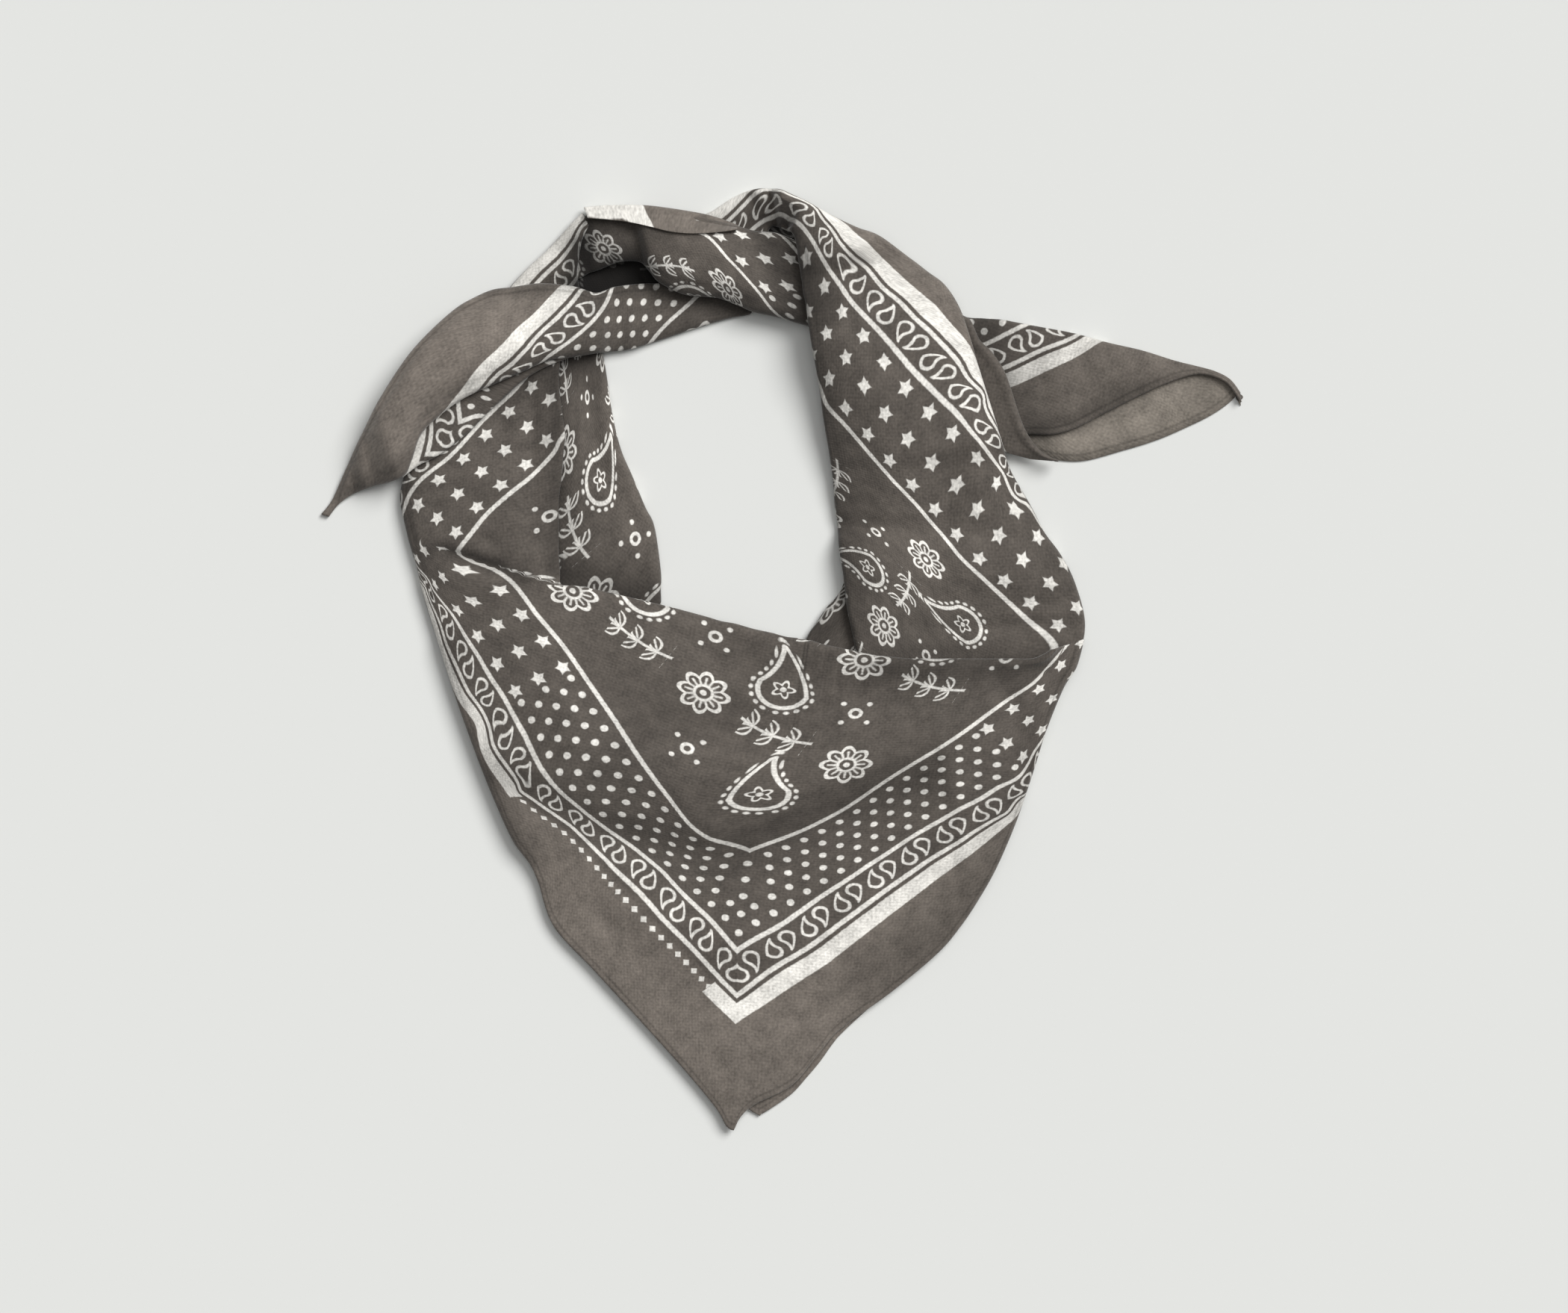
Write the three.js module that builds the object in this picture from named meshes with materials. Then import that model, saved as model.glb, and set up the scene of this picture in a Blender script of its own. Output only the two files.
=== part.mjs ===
// A square cotton neckerchief, folded to a triangle, tied with one overhand knot and laid flat.
// Millimetres, +Z up, the printed face up. The cloth lies on z = 0, under the middle of its box.
//
// Each stretch of the folded cloth is a sleeve: a sheet of one wall thickness whose section runs
// from the outer tuck, round the outer roll, over the top, round the inner roll to the inner tuck,
// open underneath. A table gives a row for each section, with both edges in plan and the heights
// of both rolls.

import * as THREE from 'three';

// The neck loop and the corner that hangs in front
const LOOP_WIDTH = 265; // left arm's outer edge to right arm's outer edge
const LOOP_LENGTH = 182; // from the neck line to the top of the knot
const BIB_LENGTH = 183; // from the neck line down to the front corner
const LEFT_TAIL_LENGTH = 74;
const RIGHT_TAIL_LENGTH = 94;

// The cloth
const WALL = 1; // one sheet
const CLEARANCE = 0.4; // between two sheets that lie on each other
const HEM_LOFT = 1.2; // a rolled hem, from middle to middle of the sheet
const HEM_TUCK = 1.4; // how far a hem's rolled edge runs back
const SIDE_TUCK = 12; // how far a turned side runs back
const NECK_TUCK = 8; // how far a neck edge runs back

// Lofts: how far the folded cloth stands open, from middle to middle of the sheet
const NECK_LOFT = 5; // inner neck band, on the left
const NECK_RUN_LOFT = 2.2; // the same band under the front panel
const PANEL_LOFT = 4; // rolled neck edge of the front panel
const PANEL_SIDE_LOFT = 5; // turned sides of the front panel
const LEFT_ARM_LOFT = 6;
const ARM_LOFT = 7; // outer roll of the right arm
const ARM_INNER_LOFT = 4; // inner roll of the right arm
const ARM_END_LOFT = 3; // the right arm's end, under the front panel
const RETURN_LOFT = 3; // the strand that runs under the knot
const CROSSING_LOFT = 7; // the strand that crosses over it
const OVER_KNOT_LOFT = 6; // the right arm where it passes over both
const LEFT_TAIL_LOFT = 6;
const RIGHT_TAIL_LOFT = 3;
const SOFT_CROWN = 3; // how far the middle of an open stretch stands proud
const FLAP_LIFT = 0.8; // how far the right arm stands off the right tail

// Heights of the middle of a sheet that lies on the floor, or on what is below it
const LIE = WALL + CLEARANCE;
const FLOOR = WALL / 2;
const ON_BACK = FLOOR + LIE;
const ON_BACK_HEM = ON_BACK + HEM_LOFT;
const ON_NECK_RUN = ON_BACK + NECK_RUN_LOFT + LIE;
const ON_LEFT_NECK = FLOOR + NECK_LOFT + LIE;
const ON_ARM_END = FLOOR + ARM_END_LOFT + LIE;
const ON_ARM_INNER = ON_NECK_RUN + ARM_INNER_LOFT + LIE;
const ON_LEFT_ARM = ON_LEFT_NECK + HEM_LOFT + LIE;
const ON_RETURN = FLOOR + RETURN_LOFT + LIE;
const ON_CROSSING = ON_RETURN + CROSSING_LOFT + LIE;
const ON_RIGHT_TAIL = FLOOR + RIGHT_TAIL_LOFT + LIE + FLAP_LIFT;

// Steps of the faceted mesh
const ROLL_STEPS = 3;

// Places in plan, as percentages of the named sizes. The neck line is y = 0.
const percent = (share, size) => (share / 100) * size;
const loop = (x, y) => new THREE.Vector2(
  percent(x, LOOP_WIDTH),
  percent(y, y < 0 ? BIB_LENGTH : LOOP_LENGTH),
);
const LEFT_TAIL_ROOT = loop(-43.4, 59);
const RIGHT_TAIL_ROOT = loop(38, 57.4);
const leftTail = (x, y) => LEFT_TAIL_ROOT.clone().add(
  new THREE.Vector2(percent(x, LEFT_TAIL_LENGTH), percent(y, LEFT_TAIL_LENGTH)),
);
const rightTail = (x, y) => RIGHT_TAIL_ROOT.clone().add(
  new THREE.Vector2(percent(x, RIGHT_TAIL_LENGTH), percent(y, RIGHT_TAIL_LENGTH)),
);

// The sections of each sleeve. A row keeps what the row above it says, apart from what it names.
// Low is the height of the tucked side, loft the height of the roll above it, tuck how far the
// cloth runs back underneath, crown how far the middle stands proud.
const LEFT_ARM = [
  {
    outer: loop(-38.5, 64.5), inner: loop(-27, 64.5), crown: 0,
    outerLow: FLOOR, outerLoft: LEFT_ARM_LOFT, outerTuck: SIDE_TUCK,
    innerLow: ON_LEFT_NECK, innerLoft: HEM_LOFT, innerTuck: HEM_TUCK,
  },
  { outer: loop(-45, 51), inner: loop(-27, 53.5) },
  { outer: loop(-49, 41), inner: loop(-26.5, 44.5) },
  { outer: loop(-50.5, 35), inner: loop(-27, 36), crown: SOFT_CROWN / 2 },
  { outer: loop(-50, 28.5), inner: loop(-27, 27), crown: SOFT_CROWN },
  { outer: loop(-49, 22), inner: loop(-27, 20.5) },
  { outer: loop(-47.5, 15), inner: loop(-27, 16), crown: SOFT_CROWN / 2 },
];

const BIB_FRONT = [
  {
    outer: loop(-47, 14), inner: loop(-27, 15), crown: SOFT_CROWN / 2,
    outerLow: FLOOR, outerLoft: LEFT_ARM_LOFT, outerTuck: SIDE_TUCK,
    innerLow: ON_LEFT_NECK, innerLoft: HEM_LOFT, innerTuck: HEM_TUCK,
  },
  {
    outer: loop(-44.5, 2), inner: loop(-22.5, 14.5), crown: SOFT_CROWN,
    outerLow: ON_BACK_HEM, outerLoft: PANEL_SIDE_LOFT, innerLoft: PANEL_LOFT, innerTuck: NECK_TUCK,
  },
  { outer: loop(-39.5, -19), inner: loop(-15, 12) },
  { outer: loop(-34, -38.5), inner: loop(-8, 9.5), innerLow: ON_NECK_RUN },
  {
    outer: loop(-30.5, -46.5), inner: loop(-4, 8), outerLoft: HEM_LOFT, outerTuck: HEM_TUCK,
    crown: SOFT_CROWN / 2,
  },
  { outer: loop(-22, -66.5), inner: loop(1.5, 6) },
  { outer: loop(-12, -82.5), inner: loop(4.5, 5) },
  { outer: loop(-3.5, -97), inner: loop(7.5, 4) },
  { outer: loop(-1.5, -100), inner: loop(9, 4), corner: true },
  { outer: loop(4, -93), inner: loop(10, 3.5) },
  { outer: loop(10.5, -84), inner: loop(13, 2) },
  { outer: loop(18, -75), inner: loop(16, 1), innerLow: ON_ARM_INNER },
  { outer: loop(28, -63), inner: loop(21, 0) },
  {
    outer: loop(34, -51.5), inner: loop(26, -0.5), outerLoft: PANEL_SIDE_LOFT, outerTuck: SIDE_TUCK,
    crown: SOFT_CROWN,
  },
  { outer: loop(39.5, -35.5), inner: loop(32, 0) },
  { outer: loop(43, -20.5), inner: loop(37.5, -0.5), crown: SOFT_CROWN / 2 },
  { outer: loop(46.5, -6.5), inner: loop(42, 0), outerLow: ON_ARM_END, crown: 0 },
  { outer: loop(49.5, 3), inner: loop(44.5, 1), outerLow: ON_ARM_END, outerTuck: NECK_TUCK },
];

const BIB_BACK = [
  {
    outer: loop(-41.5, -5.5), inner: loop(-26, -4), crown: 0,
    outerLow: FLOOR, outerLoft: HEM_LOFT, outerTuck: HEM_TUCK,
    innerLow: FLOOR, innerLoft: 0, innerTuck: 0,
  },
  { outer: loop(-34.5, -31), inner: loop(-15, -4) },
  { outer: loop(-28.5, -48.5), inner: loop(-7.5, -4) },
  { outer: loop(-21, -64.5), inner: loop(-3, -4) },
  { outer: loop(-6.5, -87), inner: loop(1.5, -4) },
  { outer: loop(2, -97), inner: loop(4.5, -4), corner: true },
  { outer: loop(7, -92.5), inner: loop(7, -4) },
  { outer: loop(11, -85.5), inner: loop(9, -4) },
  { outer: loop(15, -78.5), inner: loop(12.5, -4) },
  { outer: loop(24, -66.5), inner: loop(18, -5.5) },
  { outer: loop(33, -51), inner: loop(24.5, -6.5) },
  { outer: loop(38.5, -30), inner: loop(32, -6.5) },
  { outer: loop(42, -16.5), inner: loop(38.5, -8) },
];

const NECK_BAND = [
  {
    outer: loop(-30, 63.5), inner: loop(-21, 64.5), crown: 0,
    outerLow: FLOOR, outerLoft: HEM_LOFT, outerTuck: HEM_TUCK,
    innerLow: FLOOR, innerLoft: NECK_LOFT, innerTuck: NECK_TUCK,
  },
  { outer: loop(-30, 51), inner: loop(-19, 51) },
  { outer: loop(-30, 38), inner: loop(-16.5, 38.5) },
  { outer: loop(-30, 27), inner: loop(-13.5, 27.5) },
  { outer: loop(-29.5, 17.5), inner: loop(-12, 18.5) },
  { outer: loop(-28, 10.5), inner: loop(-12.5, 14) },
  {
    outer: loop(-24.5, 1), inner: loop(-12, 9), outerLow: ON_BACK, innerLow: ON_BACK,
    innerLoft: NECK_RUN_LOFT,
  },
  { outer: loop(-16, -8.5), inner: loop(-8, 6.5) },
  { outer: loop(-4, -11), inner: loop(0.5, 3) },
  { outer: loop(8, -10.5), inner: loop(7.5, 2) },
  { outer: loop(15.5, -5.5), inner: loop(10, 5) },
  { outer: loop(20, 5), inner: loop(12, 10.5) },
  { outer: loop(21.5, 14.5), inner: loop(14, 14.5), outerLow: FLOOR, innerLow: FLOOR },
  { outer: loop(21, 23), inner: loop(15, 21) },
];

const RIGHT_ARM = [
  {
    outer: loop(46, -4), inner: loop(18, -4), crown: 0,
    outerLow: FLOOR, outerLoft: ARM_END_LOFT, outerTuck: NECK_TUCK,
    innerLow: ON_NECK_RUN, innerLoft: ARM_INNER_LOFT, innerTuck: NECK_TUCK,
  },
  { outer: loop(49, 2), inner: loop(16.5, 1) },
  { outer: loop(50, 6.5), inner: loop(15.5, 6.5), outerTuck: SIDE_TUCK },
  { outer: loop(48, 17.5), inner: loop(14.5, 18), outerLoft: ARM_LOFT, crown: SOFT_CROWN },
  { outer: loop(44, 26.5), inner: loop(13.5, 28.5), innerLow: FLOOR },
  { outer: loop(41.5, 33.5), inner: loop(13, 35) },
  { outer: loop(39, 41), inner: loop(12.5, 38), outerLow: ON_BACK },
  { outer: loop(43.5, 42.5), inner: loop(12.5, 41), outerLow: ON_RIGHT_TAIL },
  { outer: loop(40, 53), inner: loop(12, 47) },
  { outer: loop(36, 65), inner: loop(11, 56), innerLow: ON_BACK },
  { outer: loop(32, 73), inner: loop(10, 64.5), innerLow: ON_CROSSING },
  { outer: loop(27, 82), inner: loop(9, 72.5), outerLow: ON_RETURN },
  { outer: loop(19.5, 89), inner: loop(8, 81), outerLow: ON_CROSSING, innerLoft: OVER_KNOT_LOFT },
  { outer: loop(13.5, 92.5), inner: loop(7.5, 86.5), outerLoft: OVER_KNOT_LOFT, crown: 0 },
  { outer: loop(10, 96), inner: loop(7, 90) },
  { outer: loop(7, 98.5), inner: loop(5.5, 91), innerLow: ON_RETURN, innerLoft: RETURN_LOFT },
  {
    outer: loop(3.5, 99.5), inner: loop(4.5, 92), outerLow: ON_RETURN, innerLow: FLOOR,
    outerLoft: RETURN_LOFT,
  },
  { outer: loop(0.5, 99.5), inner: loop(3.5, 91.5), outerLow: FLOOR },
  { outer: loop(-3, 97), inner: loop(4, 87.5) },
  { outer: loop(-6.5, 93.5), inner: loop(4.5, 83.5) },
  { outer: loop(-10, 86.5), inner: loop(3, 77.5) },
];

const KNOT_WRAP = [
  {
    outer: loop(-38, 66), inner: loop(-22.5, 65.5), crown: 0,
    outerLow: FLOOR, outerLoft: LEFT_ARM_LOFT, outerTuck: NECK_TUCK,
    innerLow: FLOOR, innerLoft: LEFT_ARM_LOFT, innerTuck: NECK_TUCK,
  },
  { outer: loop(-37, 71.5), inner: loop(-23.5, 71.5) },
  { outer: loop(-34.5, 79), inner: loop(-24, 78) },
  { outer: loop(-31.5, 83), inner: loop(-24.5, 81.5), crown: SOFT_CROWN / 2 },
  { outer: loop(-27, 89.5), inner: loop(-24, 82.5) },
  { outer: loop(-23, 95.5), inner: loop(-21.5, 82.5) },
  { outer: loop(-19, 96), inner: loop(-17, 84), outerLow: ON_BACK, innerLow: ON_BACK },
  {
    outer: loop(-12.5, 95), inner: loop(-13.5, 81.5), outerLow: ON_RETURN, innerLow: ON_RETURN,
    outerLoft: CROSSING_LOFT, innerLoft: CROSSING_LOFT, crown: SOFT_CROWN,
  },
  { outer: loop(-6.5, 94), inner: loop(-8, 77) },
  { outer: loop(-1, 91.5), inner: loop(-2.5, 75.5) },
  { outer: loop(4, 90), inner: loop(3, 73), crown: 0 },
  { outer: loop(7, 88), inner: loop(6.5, 71.5) },
  { outer: loop(12.5, 85), inner: loop(12, 70) },
  {
    outer: loop(20, 81.5), inner: loop(18, 63), outerLow: FLOOR, innerLow: FLOOR,
    outerLoft: RIGHT_TAIL_LOFT, innerLoft: RIGHT_TAIL_LOFT,
  },
];

const LEFT_TAIL = [
  {
    outer: leftTail(119, 64), inner: leftTail(165, 42), crown: 0,
    outerLow: FLOOR, outerLoft: RETURN_LOFT, outerTuck: NECK_TUCK,
    innerLow: FLOOR, innerLoft: RETURN_LOFT, innerTuck: NECK_TUCK,
  },
  { outer: leftTail(114, 56), inner: leftTail(160, 36) },
  { outer: leftTail(111, 52), inner: leftTail(147, 33) },
  { outer: leftTail(108, 51), inner: leftTail(129, 27) },
  { outer: leftTail(103, 51), inner: leftTail(113, 21) },
  { outer: leftTail(96, 50), inner: leftTail(96, 16), outerLow: ON_BACK, innerLow: ON_BACK },
  {
    outer: leftTail(80, 47), inner: leftTail(80, 14), outerLow: ON_LEFT_NECK, innerLow: ON_LEFT_NECK,
    outerLoft: LEFT_TAIL_LOFT, innerLoft: LEFT_TAIL_LOFT,
  },
  { outer: leftTail(62, 49), inner: leftTail(62, 11), outerLow: ON_LEFT_ARM, innerLow: ON_LEFT_ARM },
  { outer: leftTail(34, 48), inner: leftTail(35, -4), crown: SOFT_CROWN },
  { outer: leftTail(15, 43), inner: leftTail(17, -20) },
  { outer: leftTail(0, 33), inner: leftTail(-4, -38) },
  { outer: leftTail(-18, 15), inner: leftTail(-18, -46) },
  {
    outer: leftTail(-36, -11), inner: leftTail(-32, -54), outerLow: ON_BACK_HEM, innerLow: ON_BACK_HEM,
    crown: SOFT_CROWN / 2,
  },
  {
    outer: leftTail(-54, -46), inner: leftTail(-47, -59), outerLow: FLOOR, innerLow: FLOOR,
    outerLoft: RETURN_LOFT, innerLoft: RETURN_LOFT,
  },
  { outer: leftTail(-68, -69), inner: leftTail(-62, -71), crown: 0, outerLoft: HEM_LOFT, innerLoft: HEM_LOFT },
];

// The right tail's fold is its outer edge. The lower leaf is the tuck, longer than the upper.
const lowerLeaf = (share) => percent(share, RIGHT_TAIL_LENGTH);
const RIGHT_TAIL = [
  {
    outer: rightTail(-50, 46), inner: rightTail(-55, 5), crown: 0,
    outerLow: FLOOR, outerLoft: RIGHT_TAIL_LOFT, outerTuck: lowerLeaf(39),
    innerLow: ON_BACK, innerLoft: HEM_LOFT, innerTuck: HEM_TUCK,
  },
  { outer: rightTail(-32, 37), inner: rightTail(-29, -9), outerTuck: lowerLeaf(47) },
  { outer: rightTail(-18, 30), inner: rightTail(-11, -19), outerTuck: lowerLeaf(52) },
  { outer: rightTail(-1, 28), inner: rightTail(12, -19), outerTuck: lowerLeaf(57) },
  { outer: rightTail(16, 25), inner: rightTail(29, -16), outerTuck: lowerLeaf(56), crown: SOFT_CROWN / 2 },
  { outer: rightTail(43, 19), inner: rightTail(49, -7), outerTuck: lowerLeaf(44) },
  { outer: rightTail(70, 11), inner: rightTail(73, 4), outerTuck: lowerLeaf(27), crown: 0 },
  { outer: rightTail(89, 6), inner: rightTail(91, 2), outerTuck: lowerLeaf(16), outerLoft: ON_BACK },
  { outer: rightTail(97, -2), inner: rightTail(98, -6), outerTuck: lowerLeaf(7) },
];

// Folds that stand up from a sleeve, or sink into it where the height is negative
const BIB_FOLDS = [
  { path: [loop(-40, 4), loop(-26, -26), loop(-4, -44), loop(14, -40), loop(40, -12)], height: -1.6, reach: 7 },
  { path: [loop(-33, 4), loop(-14, -22), loop(8, -24), loop(34, -8)], height: 1.8, reach: 9 },
  { path: [loop(-24, -52), loop(-4, -60), loop(22, -48)], height: 1.2, reach: 8 },
];

// Fills in what each row keeps from the row above it
function fullRows(rows) {
  let last = {};
  return rows.map((row) => {
    last = { ...last, corner: false, ...row };
    return last;
  });
}

// The row a share of the way between two rows: plan on a smooth curve, heights straight
function rowBetween(before, from, to, after, share) {
  const row = {};
  for (const [name, start] of Object.entries(from)) {
    if (start instanceof THREE.Vector2) {
      const knots = [before[name], start, to[name], after[name]];
      row[name] = new THREE.Vector2(smooth(knots.map((p) => p.x), share), smooth(knots.map((p) => p.y), share));
    } else if (typeof start === 'number') {
      row[name] = THREE.MathUtils.lerp(start, to[name], share);
    }
  }
  return row;
}

// Catmull-Rom value between the middle two of four numbers
function smooth([p0, p1, p2, p3], t) {
  const slopeIn = (p2 - p0) / 2;
  const slopeOut = (p3 - p1) / 2;
  const bend = 2 * (p1 - p2) + slopeIn + slopeOut;
  return p1 + slopeIn * t + (p2 - p1 - slopeIn - bend) * t * t + bend * t * t * t;
}

function fineRows(table, steps) {
  const rows = fullRows(table);
  const fine = [];
  for (let i = 0; i < rows.length - 1; i += 1) {
    const before = i === 0 || rows[i].corner ? rows[i] : rows[i - 1];
    const after = i === rows.length - 2 || rows[i + 1].corner ? rows[i + 1] : rows[i + 2];
    for (let step = 0; step < steps; step += 1) {
      fine.push(rowBetween(before, rows[i], rows[i + 1], after, step / steps));
    }
  }
  const last = rows.at(-1);
  fine.push(rowBetween(last, last, last, last, 0));
  return fine;
}

function distanceToPath(point, path) {
  let nearest = Infinity;
  for (let i = 0; i < path.length - 1; i += 1) {
    const along = path[i + 1].clone().sub(path[i]);
    const share = THREE.MathUtils.clamp(point.clone().sub(path[i]).dot(along) / along.lengthSq(), 0, 1);
    nearest = Math.min(nearest, path[i].clone().addScaledVector(along, share).distanceTo(point));
  }
  return nearest;
}

// The middle line of one section: distance from the outer edge, and height
function middleLine(row, sleeve) {
  const width = row.outer.distanceTo(row.inner);
  const start = WALL / 2;
  const end = width - WALL / 2;
  const outerRadius = Math.min(row.outerLoft / 2, (end - start) / 4);
  const innerRadius = Math.min(row.innerLoft / 2, (end - start) / 4);
  const room = end - start - outerRadius - innerRadius;
  const outerTop = new THREE.Vector2(start + outerRadius, row.outerLow + 2 * outerRadius);
  const innerTop = new THREE.Vector2(end - innerRadius, row.innerLow + 2 * innerRadius);
  const line = [];
  const outerTuck = sleeve.longLeaf ? row.outerTuck : Math.min(row.outerTuck, room / 2 - WALL);
  line.push(new THREE.Vector2(start + outerRadius + outerTuck, row.outerLow));
  for (let i = 0; i < ROLL_STEPS; i += 1) {
    const angle = (Math.PI * i) / ROLL_STEPS;
    line.push(new THREE.Vector2(
      outerTop.x - outerRadius * Math.sin(angle),
      row.outerLow + outerRadius * (1 - Math.cos(angle)),
    ));
  }
  for (let i = 0; i <= sleeve.topSteps; i += 1) {
    const share = i / sleeve.topSteps;
    const rise = sleeve.fall ? share ** sleeve.fall : share;
    const place = row.outer.clone().lerp(row.inner, THREE.MathUtils.lerp(outerTop.x, innerTop.x, share) / width);
    const open = Math.sin(Math.PI * share);
    const folds = (sleeve.folds ?? []).reduce(
      (sum, fold) => sum + fold.height * Math.exp(-((distanceToPath(place, fold.path) / fold.reach) ** 2)),
      0,
    );
    line.push(new THREE.Vector2(
      THREE.MathUtils.lerp(outerTop.x, innerTop.x, share),
      THREE.MathUtils.lerp(outerTop.y, innerTop.y, rise) + row.crown * open + folds * open,
    ));
  }
  if (innerRadius > 0) {
    for (let i = 1; i <= ROLL_STEPS; i += 1) {
      const angle = (Math.PI * i) / ROLL_STEPS;
      line.push(new THREE.Vector2(
        innerTop.x + innerRadius * Math.sin(angle),
        row.innerLow + innerRadius * (1 + Math.cos(angle)),
      ));
    }
    const innerTuck = Math.min(row.innerTuck, room / 2 - WALL);
    line.push(new THREE.Vector2(end - innerRadius - innerTuck, row.innerLow));
  }
  return line;
}

// Both faces of the sheet along a middle line, half a wall to each side
function bothFaces(line) {
  const over = [];
  const under = [];
  line.forEach((point, i) => {
    const back = i > 0 ? point.clone().sub(line[i - 1]).normalize() : null;
    const ahead = i < line.length - 1 ? line[i + 1].clone().sub(point).normalize() : null;
    const along = (back ?? ahead).clone().add(ahead ?? back).normalize();
    const mitre = Math.max(back && ahead ? along.dot(back) : 1, 0.7);
    const side = new THREE.Vector2(-along.y, along.x).multiplyScalar(WALL / 2 / mitre);
    over.push(point.clone().add(side));
    under.push(point.clone().sub(side));
  });
  return [over, under];
}

function sleeveGeometry(table, sleeve) {
  const rings = fineRows(table, sleeve.steps).map((row) => {
    const across = row.inner.clone().sub(row.outer).normalize();
    return bothFaces(middleLine(row, sleeve)).map((face) => face.map((point) => {
      const place = row.outer.clone().addScaledVector(across, point.x);
      return new THREE.Vector3(place.x, place.y, point.y);
    }));
  });
  const count = rings[0][0].length;
  const positions = rings.flatMap(([over, under]) => [...over, ...under]).flatMap((p) => p.toArray());
  const at = (ring, face, i) => (ring * 2 + face) * count + i;
  const index = [];
  const quad = (a, b, c, d) => index.push(a, b, c, a, c, d);
  for (let ring = 0; ring < rings.length - 1; ring += 1) {
    for (let i = 0; i < count - 1; i += 1) {
      quad(at(ring, 0, i), at(ring, 0, i + 1), at(ring + 1, 0, i + 1), at(ring + 1, 0, i));
      quad(at(ring, 1, i + 1), at(ring, 1, i), at(ring + 1, 1, i), at(ring + 1, 1, i + 1));
    }
    quad(at(ring, 1, 0), at(ring, 0, 0), at(ring + 1, 0, 0), at(ring + 1, 1, 0));
    quad(at(ring, 0, count - 1), at(ring, 1, count - 1), at(ring + 1, 1, count - 1), at(ring + 1, 0, count - 1));
  }
  const last = rings.length - 1;
  for (let i = 0; i < count - 1; i += 1) {
    quad(at(0, 1, i), at(0, 1, i + 1), at(0, 0, i + 1), at(0, 0, i));
    quad(at(last, 1, i + 1), at(last, 1, i), at(last, 0, i), at(last, 0, i + 1));
  }
  const geometry = new THREE.BufferGeometry();
  geometry.setAttribute('position', new THREE.Float32BufferAttribute(positions, 3));
  geometry.setIndex(volumeOf(positions, index) < 0 ? index.reverse() : index);
  geometry.computeVertexNormals();
  return geometry;
}

function volumeOf(positions, index) {
  const corner = (i) => new THREE.Vector3().fromArray(positions, index[i] * 3);
  let volume = 0;
  for (let i = 0; i < index.length; i += 3) {
    volume += corner(i).dot(corner(i + 1).cross(corner(i + 2))) / 6;
  }
  return volume;
}

const CLOTH = { roughness: 0.95, metalness: 0 };
const PIECES = [
  { name: 'bib_back', colour: '#5a544d', table: BIB_BACK, sleeve: { steps: 2, topSteps: 2 } },
  { name: 'neck_band', colour: '#6b645c', table: NECK_BAND, sleeve: { steps: 2, topSteps: 3 } },
  { name: 'left_arm', colour: '#6e665d', table: LEFT_ARM, sleeve: { steps: 2, topSteps: 5 } },
  { name: 'right_arm', colour: '#6e665d', table: RIGHT_ARM, sleeve: { steps: 2, topSteps: 6 } },
  {
    name: 'bib_front', colour: '#6c645c', table: BIB_FRONT,
    sleeve: { steps: 2, topSteps: 11, fall: 3, folds: BIB_FOLDS },
  },
  { name: 'knot_wrap', colour: '#73695f', table: KNOT_WRAP, sleeve: { steps: 2, topSteps: 5 } },
  { name: 'left_tail', colour: '#6e665d', table: LEFT_TAIL, sleeve: { steps: 2, topSteps: 5 } },
  {
    name: 'right_tail', colour: '#6e665d', table: RIGHT_TAIL,
    sleeve: { steps: 2, topSteps: 5, longLeaf: true },
  },
];

const neckerchief = new THREE.Group();
for (const { name, colour, table, sleeve } of PIECES) {
  const material = new THREE.MeshStandardMaterial({ color: colour, ...CLOTH });
  const mesh = new THREE.Mesh(sleeveGeometry(table, sleeve), material);
  mesh.name = name;
  neckerchief.add(mesh);
}

// The origin is the middle of the box's floor
const box = new THREE.Box3().setFromObject(neckerchief);
const middle = box.getCenter(new THREE.Vector3());
neckerchief.children.forEach((mesh) => mesh.geometry.translate(-middle.x, -middle.y, -box.min.z));

export default neckerchief;
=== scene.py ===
"""A square cotton neckerchief, folded to a triangle, tied with one overhand knot and laid flat.

Each stretch of the folded cloth is a sleeve: one sheet whose section runs from the outer tuck, round
the outer roll, over the top, round the inner roll to the inner tuck. The print follows the cloth: every
point of a sheet knows how far it lies from two edges of the flat square.
"""

import logging
import math
from dataclasses import dataclass
from enum import Enum
from typing import Callable, Dict, List, Mapping, Optional, Sequence, Tuple, Union

import bpy
import numpy as np
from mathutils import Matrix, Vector


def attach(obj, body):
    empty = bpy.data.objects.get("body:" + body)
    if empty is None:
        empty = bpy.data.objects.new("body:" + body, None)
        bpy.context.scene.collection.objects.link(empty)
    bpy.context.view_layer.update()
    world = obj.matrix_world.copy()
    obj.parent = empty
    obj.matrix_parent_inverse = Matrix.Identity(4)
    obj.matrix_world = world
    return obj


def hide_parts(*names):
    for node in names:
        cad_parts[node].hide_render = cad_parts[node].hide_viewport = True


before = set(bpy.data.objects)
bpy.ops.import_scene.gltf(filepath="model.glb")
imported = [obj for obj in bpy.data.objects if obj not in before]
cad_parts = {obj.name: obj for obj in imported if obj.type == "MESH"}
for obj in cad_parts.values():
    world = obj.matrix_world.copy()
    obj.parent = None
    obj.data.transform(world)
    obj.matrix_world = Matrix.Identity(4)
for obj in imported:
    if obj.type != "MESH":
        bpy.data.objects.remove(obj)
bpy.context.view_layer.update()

LOG = logging.getLogger("neckerchief")

Point = Tuple[float, float]

MM = 0.001
SQUARE = 700.0  # side of the flat cloth, mm
FRAME_SHIFT = np.array([-14.2, 0.9])  # from the middle of the neck line to the frame's origin, mm

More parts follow.
